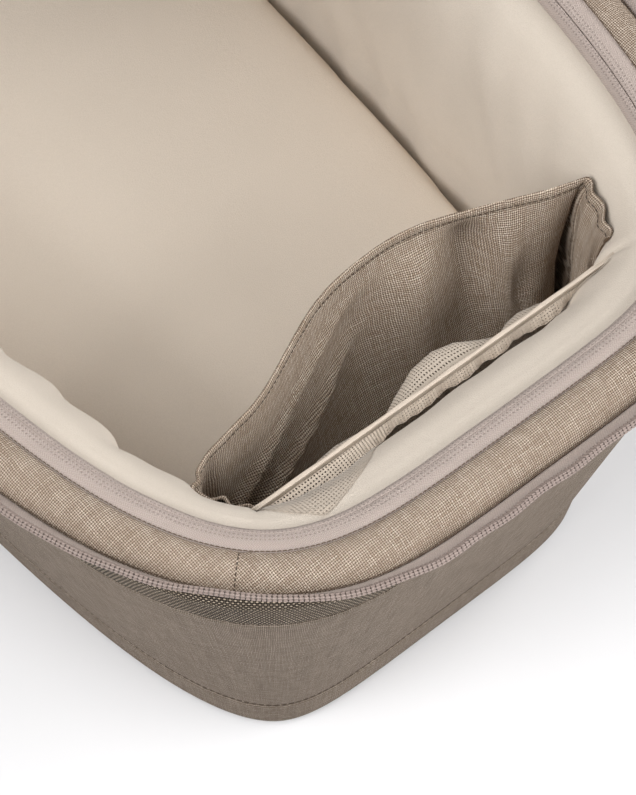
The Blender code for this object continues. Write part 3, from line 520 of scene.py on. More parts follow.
def wall_strip(name, low, high, rows, look, low_roll, high_roll, roll_width, uneven, seed, tall):
    """A strip of the outer wall with its edges turned under; its threads are drawn so tall."""
    heights = np.linspace(0, 1, rows)
    heights = low + (high - low) * (heights - np.sin(heights * math.tau) / math.tau * 0.35)
    outward = wall_reach(heights) - low_roll * rolled(heights - low, roll_width)
    outward = outward - high_roll * rolled(high - heights, roll_width)
    inner = around(outward[::-1] - cloth_inset, heights[::-1])
    edge = np.sin(np.linspace(0, 1, rows) * math.pi)
    soft = uneven * edge * drift(arc_column, heights, 0.22, seed)
    outer = around(outward + soft, heights)
    points = np.concatenate([outer, inner], axis=1)
    spans = np.concatenate([heights, heights[::-1], heights[:1]]) / tall
    return grid(name, points, look, True, True, ring_arcs, spans)


base_low = 0.0018
_, seam_height, wall_top, vent_high = wall_rises
base_band = wall_strip(
    "base_band_cloth", base_low, seam_height - hair, 18, side_cloth, 0.0045, edge_roll, 0.004,
    0.0002, 3, 2.5,
)
side_cover = wall_strip(
    "side_cover_cloth", seam_height + hair, wall_top, 44, side_cloth, edge_roll, 0.0004, 0.003,
    0.0008, 4, 2.5,
)
vent_band = wall_strip(
    "vent_band_cloth", wall_top + hair, vent_high, 16, vent_weave, 0.0012, 0.0002, 0.004,
    0.0004, 5, 2.4,
)
for piece, node in ((base_band, "base_band"), (side_cover, "side_cover"), (vent_band, "vent_band")):
    fitted(piece, "cot", "vent_weave" if node == "vent_band" else "side_cloth", node)


def thread_look(name, dark, light):
    """Spun thread, with the pale and dark turns of its twist."""
    made, tree, shader = new_material(name, Roughness=0.8)
    twist = place(tree, "ShaderNodeTexWave", {"Vector": own_place(tree), "Scale": 900.0})
    lay(tree, shader, tinted(tree, twist.outputs[1], dark, light))
    return made


dark_thread = thread_look("dark_thread", shade(46, 36, 28), shade(84, 68, 54))


def stitched(name, path, up, pitch, length, radius, look, closed=False):
    """A run of thread stitches along a path, each with its ends sunk into the cloth."""
    if closed:
        path, up = np.concatenate([path, path[:1]]), np.concatenate([up, up[:1]])
    run = run_along(path)
    count = int(run[-1] / pitch)
    middle = (np.arange(count) + 0.5) * run[-1] / count
    places = middle[:, None] + np.array([-0.5, -0.3, 0, 0.3, 0.5]) * length
    centre, way_up = read_off(places, run, path), read_off(places, run, up)
    before, after = places - pitch / 8, np.clip(places + pitch / 8, 0, run[-1])
    aside = np.cross(unit(read_off(after, run, path) - read_off(before, run, path)), way_up)
    lift = radius * np.array([-1.3, 0.1, 0.5, 0.1, -1.3])
    size = radius * np.array([0.5, 0.9, 1, 0.9, 0.5])
    centre = centre + way_up * lift[:, None]
    turns = np.arange(6) * math.tau / 6
    rings = (
        centre[:, :, None]
        + way_up[:, :, None] * (np.cos(turns) * size[:, None])[..., None]
        + aside[:, :, None] * (np.sin(turns) * size[:, None])[..., None]
    )
    index = np.arange(count * 30).reshape(count, 5, 6)
    around_it = (np.arange(6) + 1) % 6
    sides = [index[:, :-1], index[:, 1:], index[:, 1:][..., around_it]]
    sides.append(index[:, :-1][..., around_it])
    faces = np.stack(sides, -1).reshape(-1, 4).tolist()
    faces += index[:, 0].tolist() + index[:, -1, ::-1].tolist()
    return finish_mesh(new_mesh(name, rings, faces), look, 80)


def ring_out_3d():
    return np.concatenate([ring_out, np.zeros((ring_count, 1))], axis=1)


seam_line = around(wall_reach(seam_height) - edge_roll * 0.55, seam_height)[:, 0]
base_seam = stitched(
    "base_seam_stitches", seam_line, ring_out_3d(), 0.0034, 0.0031, 0.00055, dark_thread, True
)
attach(base_seam, "cot")

# Liner
# Cream cotton jersey over wadding, sewn from a long panel and four corner seams.
# It is loose enough to pillow between the places where the zip tape holds it.
liner_low, liner_lip = 0.0466, 0.2253
liner_rises = (0, 0.255, 0.356, 0.524, 0.703, 0.827, 0.911, 0.967, 0.995)
liner_insets = (1.105, 0.937, 0.937, 0.976, 1, 0.963, 0.854, 0.683, 0.488)
liner_swells = (0, 0, 0.42, 0.83, 1, 0.80, 0.50, 0.25, 0.04)
liner_inset, liner_swell, corner_relief, pillow_line = 0.041, 0.012, 0.5, 0.045


def smooth_through(knots, values, count):
    """Even steps along a smooth curve through values at knots."""
    knots, values = np.array(knots, float), np.array(values, float)
    slopes = np.gradient(values, knots)
    where = np.linspace(knots[0], knots[-1], count)
    k = np.clip(np.searchsorted(knots, where, side="right") - 1, 0, len(knots) - 2)
    width = knots[k + 1] - knots[k]
    t = (where - knots[k]) / width
    first = values[k] * (2 * t**3 - 3 * t**2 + 1) + slopes[k] * width * (t**3 - 2 * t**2 + t)
    last = values[k + 1] * (3 * t**2 - 2 * t**3) + slopes[k + 1] * width * (t**3 - t**2)
    return first + last


liner_steps = np.arange(len(liner_rises))
liner_rows = 44
rise = smooth_through(liner_steps, liner_rises, liner_rows)
inset = smooth_through(liner_steps, liner_insets, liner_rows)
swell = smooth_through(liner_steps, liner_swells, liner_rows)
fullness = np.maximum(ring_out[:, 0], 0) ** 4 - corner_relief * ring_corner**2

# Extra fullness of the pillows: places along the cot in mm, and how far each stands in
right_pillows = (
    (-330, 0), (-290, 3), (-240, 5), (-205, 2), (-196, 0.5), (-170, 4), (-110, 5), (-60, 3),
    (-48, 0.5), (-20, 4), (40, 5), (90, 3), (104, 0.8), (130, 3.5), (176, 4.5), (205, 2.5),
    (214, 2.2), (222, 3), (228, 0.8), (234, 2.6), (243, 5), (252, 5.9), (259, 3.4), (266, 2.6),
    (274, 3.4), (282, 4.6), (287, 4.2), (290, 2), (293, 0), (297, 0.8), (300.5, 5), (307, 6.5),
    (314, 6.6), (320, 6.2), (325, 5.5), (329, 2.5), (333, 0.5), (345, 0),
)
left_pillows = (
    (-330, 0), (-270, 2), (-220, 3), (-180, 0), (-120, 2), (-60, 2), (-20, 0), (40, 1), (90, 0),
    (112, -1), (134, 0), (152, -1.5), (176, 0), (196, 1.5), (212, 1.8), (226, -1.5),
    (240, -2.5), (262, -2), (300, 0),
)
foot_pillows = (
    (-60, 0), (-20, 0.5), (30, 1), (58, 0.5), (66, -2), (74, 3), (88, 5), (104, 3.5), (118, 0),
)


def pillow_sizes(table, where):
    table = np.array(table) / 1000
    return np.interp(where, table[:, 0], table[:, 1])


on_right = np.clip(-ring_out[:, 1], 0, 1) ** 0.5 * (ring_at[:, 1] < 0)
on_left = np.clip(ring_out[:, 1], 0, 1) ** 0.5 * (ring_at[:, 1] > 0)
on_foot = np.clip(ring_out[:, 0], 0, 1) * (ring_at[:, 0] > 0)
inner_x, inner_y = (ring_at - ring_out * pillow_line).T
right_size = pillow_sizes(right_pillows, inner_x) * on_right
left_size = pillow_sizes(left_pillows, inner_x) * on_left
foot_size = pillow_sizes(foot_pillows, inner_y) * on_foot


def swelling(share, low, peak, high):
    """A smooth hump over the rows, from nothing at low to one at peak and back at high."""
    rising = np.clip((share - low) / (peak - low), 0, 1)
    falling = np.clip((high - share) / (high - peak), 0, 1)
    lesser = np.minimum(rising, falling)
    return lesser * lesser * (3 - 2 * lesser)


def softened(values, reach):
    """Evens out values round the ring over a few places."""
    weights = np.hanning(2 * reach + 1)
    padded = np.concatenate([values[-reach:], values, values[:reach]])
    return np.convolve(padded, weights / weights.sum(), mode="valid")


upper = swelling(rise, 0.12, 0.8, 1.0)
lower = swelling(rise, -0.3, 0.28, 0.85)
pillow = softened(right_size, 2)[:, None] * upper + softened(left_size, 3)[:, None] * lower
pillow = pillow + softened(foot_size, 3)[:, None] * swelling(rise, 0.5, 0.85, 1.0)
held_ends = np.sin(np.clip(rise, 0, 1) * math.pi)
loose = np.clip((1 - rise) / 0.14, 0, 1)
pillow = pillow + 0.0010 * loose * drift(arc_column, rise * 0.18, 0.16, 11)
pillow = pillow + 0.0008 * loose * drift(arc_column, rise * 0.10, 0.045, 12)
# How far the foot panel falls away behind the elastic, in the same way
foot_hollows = ((-116, 0), (-98, 1), (-80, 5), (-40, 7), (40, 7), (58, 5), (70, 2), (80, 0))
hollow = softened(pillow_sizes(foot_hollows, inner_y) * on_foot, 4)
pillow = pillow - hollow[:, None] * swelling(rise, -0.1, 0.80, 0.985)


def nearest_station(x, y):
    return int(np.argmin(np.hypot(ring_at[:, 0] - x, ring_at[:, 1] - y)))


seam_spots = [(0.3835, -0.123), (0.3835, 0.123), (-0.385, -0.150), (-0.385, 0.150)]
corner_seams = [nearest_station(x, y) for x, y in seam_spots]


def seam_dip(wide, shift=0.0):
    """One at each corner seam, falling to nothing a width away along the ring."""
    total = np.zeros(ring_count)
    for index in corner_seams:
        towards_head = shift * np.sign(ring_at[index, 0] * ring_at[index, 1])
        apart = np.abs(ring_arcs[:-1] - ring_arcs[index] - towards_head)
        apart = np.minimum(apart, ring_length - apart)
        total = total + np.exp(-((apart / wide) ** 2))
    return total


dip = 0.0050 * seam_dip(0.0034)[:, None] - 0.0024 * seam_dip(0.013)[:, None]
pillow = pillow - dip * np.clip(held_ends * 2.2, 0, 1)
face_out = -liner_inset * inset - liner_swell * swell * fullness[:, None] - pillow
face_height = liner_low + (liner_lip - liner_low) * rise
cloth_and_gaps = 0.0016 + 2 * hair
liner_depth = cloth_thickness + 2 * hair + padding_thickness + cloth_and_gaps
back_heights = np.array([0.2253, 0.2265, 0.219, wall_top, 0.12, liner_low])
back_out = np.array([-0.0133, -0.0070, -0.0045, 0, 0, 0])
back_out[3:] = wall_reach(back_heights[3:]) - liner_depth
liner_face, liner_back = around(face_out, face_height), around(back_out, back_heights)
liner_points = np.concatenate([liner_face, liner_back], axis=1)

knit, given, result = new_group(
    "fine knit",
    [("Place", vector, None), ("Fineness", number, 1.0)],
    [("Height", number), ("Tone", number), ("Patch", number)],
)
tree = knit
sized = scaled(tree, given["Place"], given["Fineness"])
loops = noisy(tree, sized, 1900.0, 2.0)
nap = noisy(tree, sized, 420.0, 3.0)
tree.links.new(maths(tree, "MULTIPLY_ADD", nap, 0.5, loops), result["Height"])
tree.links.new(eased(tree, loops, 0.25, 0.75), result["Tone"])
tree.links.new(eased(tree, noisy(tree, sized, 24.0, 4.0), 0.3, 0.7), result["Patch"])


def jersey(name, light, dark, relief=0.00022):
    made, tree, shader = new_material(name, Roughness=0.95, Sheen_Weight=0.1, Sheen_Roughness=0.5)
    knitted = grouped(tree, knit, place=own_place(tree))
    base = tinted(tree, maths(tree, "MULTIPLY", knitted["Tone"], 0.35), light, dark)
    base = tinted(tree, maths(tree, "MULTIPLY", knitted["Patch"], 0.12), base, dark)
    lay(tree, shader, base, None, knitted["Height"], relief)
    return made


cream_jersey = jersey("cream_jersey", shade(211, 200, 187), shade(194, 182, 168))
mattress_jersey = jersey("mattress_jersey", shade(234, 221, 206), shade(216, 203, 187))
liner = grid("padded_liner", liner_points, cream_jersey, True, True, ring_arcs, sharp=70)
fitted(liner, "cot", "cream_jersey", "liner")

# Mattress
# A foam core in a beige jersey cover, crowned on top and drawn in a little along its sides.
# It lies on the board, loose inside the liner.
mattress_low, mattress_lift, mattress_crown = 0.0466, 0.0445, 0.0020
mattress_sides = (
    (0, 0.20), (0.12, 0.05), (0.34, 0), (0.56, 0.02), (0.74, 0.12), (0.86, 0.34), (0.94, 0.66),
    (0.985, 1.0),
)
edge_round, waist, liner_gap = 0.007, 0.0005, 0.0009
mattress_tops = (
    (0.965, 0.3), (0.93, 0.5), (0.86, 0.7), (0.76, 0.84), (0.64, 0.93), (0.5, 1), (0.36, 1.03),
    (0.24, 1.05), (0.14, 1.05), (0.06, 1.05), (0.01, 1.05),
)


def base_face(height):
    """Where the liner's plain face stands at a height, before its pillows."""
    share = (height - liner_low) / (liner_lip - liner_low)
    plain = np.interp(share, rise, inset) * liner_inset
    full = np.interp(share, rise, swell) * liner_swell
    return -plain - full * fullness


def make_mattress():
    picked = np.arange(0, ring_count, 4)
    rings = []
    for height_share, draw in mattress_sides:
        height = mattress_low + mattress_lift * height_share
        outward = base_face(height) - liner_gap - edge_round * draw - waist * (1 - ring_corner)
        rings.append(around(outward[:, None], height)[picked, 0])
    edge_line = rings[-1]
    for share, crown in mattress_tops:
        spot = edge_line.copy()
        spot[:, 0] = plan_shift + (spot[:, 0] - plan_shift) * share
        spot[:, 1] *= share
        spot[:, 2] = mattress_low + mattress_lift + mattress_crown * crown
        rings.append(spot)
    points = np.stack(rings)
    return grid("mattress_pad", points[:, ::-1].transpose(1, 0, 2), mattress_jersey, True)


def close_pad(piece):
    """Fills the open middles of a pad's top and bottom."""
    with reworked(piece.data) as shape:
        bmesh.ops.holes_fill(shape, edges=shape.edges, sides=0)
        bmesh.ops.triangulate(shape, faces=[face for face in shape.faces if len(face.verts) > 4])
        bmesh.ops.recalc_face_normals(shape, faces=shape.faces)


def evaluated_mesh(piece):
    graph = bpy.context.evaluated_depsgraph_get()
    return bpy.data.meshes.new_from_object(piece.evaluated_get(graph), depsgraph=graph)


def mesh_places(mesh):
    """Corner places of a mesh as rows."""
    places = np.zeros(len(mesh.vertices) * 3, np.float32)
    mesh.vertices.foreach_get("co", places)
    return places.reshape(-1, 3).astype(float)


def plumped(piece, voxel, pressure, cap, frames=20):
    """Remeshes a pad and lets its filling swell it as cloth under pressure, by a cap at most."""
    remesh = piece.modifiers.new("even mesh", "REMESH")
    remesh.mode = "VOXEL"
    remesh.voxel_size = voxel
    piece.data = evaluated_mesh(piece)
    piece.modifiers.clear()
    start = mesh_places(piece.data)
    swell_up = piece.modifiers.new("filling", "CLOTH")
    swell_up.settings.quality = 5
    swell_up.settings.use_pressure = True
    swell_up.settings.uniform_pressure_force = pressure
    swell_up.settings.effector_weights.gravity = 0
    for step in range(1, frames + 1):
        bpy.context.scene.frame_set(step)
    moved_mesh = evaluated_mesh(piece)
    shift = mesh_places(moved_mesh) - start
    size = np.linalg.norm(shift, axis=1)[:, None]
    shift *= np.minimum(1, cap / np.maximum(size, 1e-9))
    piece.modifiers.clear()
    piece.data.vertices.foreach_set("co", (start + shift).astype(np.float32).ravel())
    bpy.context.scene.frame_set(1)
    piece.data.update()


mattress = make_mattress()
close_pad(mattress)
plumped(mattress, voxel=0.006, pressure=3.0, cap=0.0012)
smoother = mattress.modifiers.new("smooth", "SUBSURF")
smoother.levels = smoother.render_levels = 1
mattress.data = evaluated_mesh(mattress)
mattress.modifiers.clear()
mattress.data.shade_smooth()
fitted(mattress, "cot", "mattress_jersey", "mattress")

# Rim cover
# Natural linen pulled over the tube and felled at four corner seams. Its edges turn under
# where the closed zip and the open zip are sewn on.
# The first colour is the painted shade in the gaps between the threads.
linen = cloth_look(
    "linen", 0.00100, shade(102, 85, 70), shade(166, 147, 130), shade(218, 203, 188), 0.00045, 0.3,
    (0.40, 0.86),
)
cover_reach, cover_drop = 0.0182, 0.013
crown_out = (-0.01, 0.25, 0.52, 0.77, 0.94, 1.0, 1.0)
crown_rise = (0.0, 0.108, 0.05, -0.20, -0.52, -0.78, -1.0)
cover_rows = 30
crown_x = smooth_through(range(7), crown_out, cover_rows) * cover_reach
crown_z = rim_height + smooth_through(range(7), crown_rise, cover_rows) * cover_drop
edge_share = np.linspace(0, 1, cover_rows)
turn_under = 0.0005 * (rolled(edge_share, 0.06) + 1.5 * rolled(1 - edge_share, 0.09))
rim_seam_shift = 0.0038
seam_groove = 0.0012 * seam_dip(0.0016, rim_seam_shift) - 0.0005 * seam_dip(0.006, rim_seam_shift)
lumps = 0.00035 * drift(arc_column, edge_share * 0.03, 0.06, 21)
tube_out, tube_height = 0.0090, rim_height - 0.0102
sideways = unit(np.stack([crown_x - tube_out, crown_z - tube_height], -1))
lift = lumps * np.sin(edge_share * math.pi) - turn_under - seam_groove[:, None]
linen_depth = np.full_like(lift, -0.0011)
cover_outer, cover_inner = (
    around(crown_x + sideways[:, 0] * above, crown_z + sideways[:, 1] * above)
    for above in (lift, linen_depth)
)
cover_points = np.concatenate([cover_outer, cover_inner[:, ::-1]], axis=1)
seam_arcs = sorted(
    ring_arcs[index] + rim_seam_shift * np.sign(ring_at[index].prod()) for index in corner_seams
)
piece_of = np.searchsorted(seam_arcs, ring_arcs[:-1] + 0.5 * ring_arcs[1]) % 4
thread_ways = np.array([(0, -1), (1, 0), (0, 1), (-1, 0)], float)[piece_of]
cover_run = run_along(np.stack([crown_x, crown_z], -1))
cover_run = np.concatenate([cover_run, cover_run[::-1]])
cover_flat = ring_at[:, None] + ring_out[:, None] * cover_run[:, None]
rim_cover = grid(
    "linen_rim_cover", cover_points, linen, True, True, ring_arcs, cut=(cover_flat, thread_ways)
)


def along_ring(values, arc):
    """A row of values at a place between two stations of the ring."""
    place_in = arc / ring_arcs[1]
    first = int(place_in) % ring_count
    return values[first] + (values[(first + 1) % ring_count] - values[first]) * (place_in % 1)


for label, arc in zip(("head_right", "foot_right", "foot_left", "head_left"), seam_arcs):
    seam_path = along_ring(cover_outer, arc)[1:-3]
    seam_way = along_ring(ring_out, arc)
    seam_up = np.concatenate([seam_way * sideways[1:-3, :1], sideways[1:-3, 1:]], axis=1)
    seam_thread = stitched(
        f"rim_seam_stitches_{label}", seam_path, seam_up, 0.0021, 0.0017, 0.00034, dark_thread
    )
    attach(seam_thread, "cot")
fitted(rim_cover, "cot", "linen", "rim_cover")

# Closed zip round the inner slope of the rim
# A reversed coil zip: two woven tapes meet over the coil, which shows only as stitch rows and
# a dark slit. The slider is parked by the head on the left side.
coil_pitch, rib_pitch = 0.00195, 0.0011
tape_weave, given, result = new_group(
    "zip tape",
    [("Threads", vector, None), ("Edge", number, 0.0), ("Sign", number, 1.0)],
    [("Height", number), ("Rib", number), ("Stitch", number)],
)
tree = tape_weave
parts = split(tree, given["Threads"])
from_edge = maths(tree, "MULTIPLY", maths(tree, "SUBTRACT", parts[1], given["Edge"]), given["Sign"])
slant = maths(tree, "PINGPONG", parts[1], rib_pitch)
diagonal = maths(tree, "MULTIPLY_ADD", slant, 1.2, parts[0])
rib = maths(tree, "MULTIPLY_ADD", ripples(tree, diagonal, rib_pitch), 0.5, 0.5)
beat = eased(tree, ripples(tree, parts[0], coil_pitch), 0.0, 0.8)
rows = []
for middle in (0.0011, 0.0030):
    apart = maths(tree, "ABSOLUTE", maths(tree, "SUBTRACT", from_edge, middle))
    rows.append(maths(tree, "MULTIPLY", eased(tree, apart, 0.00055, 0.0002), beat))
stitch = maths(tree, "MAXIMUM", *rows)
tree.links.new(maths(tree, "MULTIPLY_ADD", stitch, -1.5, rib), result["Height"])
tree.links.new(rib, result["Rib"])
tree.links.new(stitch, result["Stitch"])


def tape_look(name, edge, sign, hole):
    """Ribbed zip tape with two rows of stitches, so far from its edge one way or the other; the
    stitch holes are painted dark as shade.
    """
    made, tree, shader = new_material(name, Roughness=0.78, Sheen_Weight=0.08)
    tape = grouped(tree, tape_weave, threads=thread_place(tree), edge=edge, sign=sign)
    light, dark = shade(188, 173, 165), shade(148, 133, 125)
    base = tinted(tree, maths(tree, "MULTIPLY", tape["Rib"], 0.6), light, dark)
    # The stitch rows take the hole colour, a painted shade in the holes.
    base = tinted(tree, maths(tree, "MULTIPLY", tape["Stitch"], 0.4), base, hole)
    lay(tree, shader, base, None, tape["Height"], 0.0002)
    return made


outer_tape_width, inner_tape_width = 0.0094, 0.0080
# The last colour is the painted shade in the stitch holes.
outer_tape_look = tape_look("outer_zip_tape", 0.0, 1.0, shade(98, 84, 76))
inner_tape_look = tape_look("inner_zip_tape", 0.0, 1.0, shade(98, 84, 76))
slit_out, slit_height = -0.0093, rim_height - 0.0017
lap_out, lap_height = -0.0142, rim_height - 0.0080
slit_half, tape_thickness = 0.0002, 0.0007
share = np.linspace(0, 1, 12)
bow = np.sin(share * math.pi)


def zip_tape(name, out, height, wave, back_shift, width, look):
    """A tape of the closed zip from its face, at places out from the rim seam and heights."""
    face = around(out, height + wave)
    back = around(out[::-1] + back_shift, height[::-1] - tape_thickness + wave[:, ::-1])
    spans = np.concatenate([share, share[::-1], [0]]) * width
    return grid(name, np.concatenate([face, back], axis=1), look, True, True, ring_arcs, spans)


outer_x = slit_out + slit_half + (-slit_half - slit_out) * share
outer_z = slit_height + (rim_height - 0.0004 - slit_height) * share
outer_z = outer_z + (0.0004 * bow - 0.0003 * rolled(share, 0.12))
outer_wave = 0.00025 * drift(arc_column, share * 0.01, 0.045, 31) * bow
outer_tape = zip_tape(
    "closed_zip_outer_tape", outer_x, outer_z, outer_wave, 0, outer_tape_width, outer_tape_look
)
lap_x = slit_out - slit_half + (lap_out - slit_out + slit_half) * share - 0.0006 * bow
lap_x = lap_x + 0.0010 * rolled(1 - share, 0.2)
lap_z = slit_height - 0.0003 + (lap_height - slit_height) * share + 0.0010 * bow
lap_z = lap_z - 0.0005 * rolled(share, 0.15)
lap_wave = 0.0003 * drift(arc_column, share * 0.01, 0.06, 32) * bow
inner_tape = zip_tape(
    "closed_zip_inner_tape", lap_x, lap_z, lap_wave, 0.0005, inner_tape_width, inner_tape_look
)
brown_thread = thread_look("brown_thread", shade(72, 58, 46), shade(112, 94, 79))
tape_seam = stitched(
    "closed_zip_seam_stitches", around(-0.0003, rim_height + 0.0001)[:, 0],
    np.tile((0.0, 0.0, 1.0), (ring_count, 1)), 0.0022, 0.0020, 0.00026, brown_thread, True,
)
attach(tape_seam, "cot")
fitted(outer_tape, "cot", "zip_tape", "inner_zip_outer_tape")
fitted(inner_tape, "cot", "zip_tape", "inner_zip_inner_tape")

nylon, tree, shader = new_material("coil_nylon")
spot = own_place(tree)
surface = grouped(tree, grain, place=spot, fineness=2200.0)
base = tinted(tree, surface["Mottle"], shade(154, 139, 132), shade(140, 125, 118))
rough = maths(tree, "MULTIPLY_ADD", surface["Mottle"], 0.15, 0.55)
lay(tree, shader, base, rough, surface["Height"], 0.00003)

coil_count, turn_steps = int(ring_length / coil_pitch), 8
coil_steps = np.arange(coil_count * turn_steps)
coil_place = coil_steps / turn_steps * ring_length / coil_count
coil_at, coil_out = (
    read_off(coil_place, ring_arcs[:-1], values, period=ring_length)
    for values in (ring_at, ring_out)
)
coil_turn = coil_steps * math.tau / turn_steps
coil_side = slit_out + 0.0011 + 0.0011 * np.cos(coil_turn)
coil_z = slit_height - 0.0027 + 0.0006 * np.sin(coil_turn)
coil_line = np.concatenate([coil_at + coil_out * coil_side[:, None], coil_z[:, None]], axis=1)


def wire_along(name, line, radius, look, closed=False, sides=5):
    """A round wire or cord of mesh that follows a line of points."""
    ahead = np.roll(line, -1, 0) - np.roll(line, 1, 0)
    if not closed:
        ahead[0], ahead[-1] = line[1] - line[0], line[-1] - line[-2]
    ahead = unit(ahead)
    up = unit(np.array([0, 0, 1]) - ahead * ahead[:, 2:])
    aside = np.cross(ahead, up)
    turns = np.arange(sides) * math.tau / sides
    points = line[:, None] + radius * (
        up[:, None] * np.cos(turns)[:, None] + aside[:, None] * np.sin(turns)[:, None]
    )
    return grid(name, points, look, closed, True, sharp=80)


coil = wire_along("closed_zip_coil", coil_line, 0.00032, nylon, True, 4)
fitted(coil, "cot", "zip_teeth", "inner_zip_coil")

# Slider and puller of the closed zip
# A die-cast slider with a raised bridge, and a flat punched puller hooked through it.
# Both are zinc with a dull nickel finish; they lie on the tapes by the head.
cast_metal, tree, shader = new_material("cast_zip_metal", Metallic=1.0)
spot = own_place(tree)
surface = grouped(tree, grain, place=spot, fineness=1900.0)
wear = grouped(tree, edge_wear, place=spot, width=0.0005)["Worn"]
base = tinted(tree, surface["Mottle"], shade(150, 142, 134), shade(120, 113, 106))
base = tinted(tree, wear, base, shade(206, 200, 192))
rough = maths(tree, "MULTIPLY_ADD", surface["Mottle"], 0.2, 0.28)
lay(tree, shader, base, rough, surface["Height"], 0.00003)


def rounded_plan(half_long, half_wide, power, count=28):
    turns = (np.arange(count) + 0.5) * math.tau / count
    return rounded_box(turns, half_long, half_wide, power)


def slab(name, outline, low, high, edge, look):
    """A plate with rounded edges over an outline, from one height to another."""
    rings = []
    for inset, height in ((1, low), (0.3, low + edge * 0.3), (0, low + edge), (0, high - edge)):
        rings.append((inset * edge, height))
    rings += [(0.3 * edge, high - edge * 0.3), (edge, high)]
    middle = outline.mean(axis=0)
    arms = outline - middle
    size = np.linalg.norm(arms, axis=1)[:, None]
    points = []
    for inset, height in rings:
        flat = middle + arms * (1 - inset / size)
        points.append(np.concatenate([flat, np.full((len(flat), 1), height)], axis=1))
    return grid(name, np.stack(points), look, False, True, sharp=40)


def joined(name, pieces):
    """Joins pieces of one casting or moulding into one object."""
    first, *others = pieces
    with reworked(first.data) as shape:
        for piece in others:
            shape.from_mesh(piece.data)
    for piece in others:
        bpy.data.objects.remove(piece)
    first.name = name
    return first


def node_box(node):
    """A CAD node's lowest and highest corners, and its middle."""
    low, high = (np.array(corner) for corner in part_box(node))
    return low, high, (low + high) / 2


slider_low, slider_high, slider_middle = node_box("inner_zip_slider")
puller_low, puller_high, puller_middle = node_box("inner_zip_puller")
shield = rounded_plan(0.0055, 0.0042, 3.2)
shield[:, 1] *= 1 - 0.22 * (shield[:, 0] < 0) * np.abs(shield[:, 0]) / 0.0055
shield += slider_middle[:2]
foot_height, bridge_height = slider_low[2], slider_low[2] + 0.0012
body = slab("slider_body", shield, foot_height, foot_height + 0.0015, 0.0004, cast_metal)
bridge_plan = rounded_plan(0.0042, 0.0011, 4) + slider_middle[:2]
bridge = slab("slider_bridge", bridge_plan, bridge_height, slider_high[2], 0.0005, cast_metal)
slider = joined("closed_zip_slider", [body, bridge])
blade = rounded_plan(0.0120, 0.0035, 4, 40)
blade[:, 1] *= 0.80 + 0.20 * np.clip(blade[:, 0] / 0.012, -1, 1)
blade += puller_middle[:2]
blade_top = puller_high[2]
plate = slab("puller_blade", blade, puller_low[2], blade_top, 0.0004, cast_metal)
rib_plan = rounded_plan(0.0066, 0.0016, 4) + puller_middle[:2] + (0.003, 0)
raised = slab("puller_rib", rib_plan, blade_top - 0.0003, blade_top + 0.0003, 0.0002, cast_metal)
puller = joined("closed_zip_puller", [plate, raised])
fitted(slider, "cot", "slider_metal", "inner_zip_slider")
fitted(puller, "cot", "slider_metal", "inner_zip_puller")

# Open zip round the outside of the rim
# One half of a chunky moulded zip, sewn under the rim cover, which takes the apron. Its tape
# flares out and stands up at the corners; each tooth is moulded round the corded tape edge.
tape_bend_out, tape_bend_drop = 0.0189, 0.0084
tape_leg_height, tape_width = 0.0045, 0.0105
tape_lift, corner_lift = math.radians(40), math.radians(20)
corner_in, corner_up = 0.0026, 0.0034
open_start = -0.034
tooth_pitch = 0.00200
on_open = np.where(ring_at[:, 0] >= open_start)[0]
# Its last colour is the painted shade in the stitch holes.
open_look = tape_look("open_zip_tape", tape_leg_height + tape_width, -1.0, shade(84, 70, 62))
corner_share = ring_corner**1.45
lift_angle = tape_lift + corner_lift * corner_share
flare_way = np.stack([np.cos(lift_angle), np.sin(lift_angle)], -1)
bend_out = tape_bend_out - corner_in * corner_share
bend_height = rim_height - tape_bend_drop + corner_up * corner_share
bend = np.stack([bend_out, bend_height], -1)


def on_flare(along, above, picked):
    """Distance out and height of spots along and above the flaring tape."""
    way, start = flare_way[picked], bend[picked]
    outward = start[:, :1] + way[:, :1] * along - way[:, 1:] * above
    return outward, start[:, 1:] + way[:, 1:] * along + way[:, :1] * above


run = np.linspace(0.0012, tape_width, 11)
tape_sway, half_tape = 0.0004, 0.00038
sway = tape_sway * drift(arc_column, run, 0.05, 41)[on_open] * (run / tape_width) ** 2
cup = -0.0006 * np.sin(run / tape_width * math.pi) + sway
flare_out, flare_up = on_flare(run, cup + half_tape, on_open)
under_out, under_up = on_flare(run[::-1], cup[:, ::-1] - half_tape, on_open)
leg_drops = np.array([tape_leg_height, 0.0022, 0.0004])
start_out, start_up = bend[on_open, :1], bend[on_open, 1:]
leg_in, leg_far = (np.repeat(start_out + aside, 3, axis=1) for aside in (-0.0003, 0.0004))
tape_out = np.concatenate([leg_in, flare_out, under_out, leg_far], axis=1)
leg_back = start_up - leg_drops[::-1] - (0.0012, 0.0003, 0)
tape_up = np.concatenate([start_up - leg_drops, flare_up, under_up, leg_back], axis=1)
open_spans = np.concatenate([tape_leg_height - leg_drops, run + tape_leg_height])
open_spans = np.concatenate([open_spans, open_spans[::-1], [0]])
open_tape = grid(
    "open_zip_tape_cloth", around(tape_out, tape_up, on_open), open_look, False, True,
    ring_arcs[:-1][on_open], open_spans,
)


def copies(name, points, faces, centres, axes, look):
    """One mesh of the same small shape at many places, each with its own three axes."""
    count, corners = len(centres), len(points)
    spots = centres[:, None] + np.einsum("pk,nkd->npd", np.array(points), axes)
    starts = np.arange(count) * corners
    every = [[s + corner for corner in face] for s in starts.tolist() for face in faces]
    return finish_mesh(new_mesh(name, spots, every), look)


def shell_faces(layers, count):
    """Faces of a closed stack of outlines, as indices layer by layer."""
    faces = []
    for layer in range(layers - 1):
        for i in range(count):
            j = (i + 1) % count
            base = layer * count
            faces.append([base + i, base + j, base + count + j, base + count + i])
    top = (layers - 1) * count
    return faces + [list(range(count)), list(range(top + count - 1, top - 1, -1))]


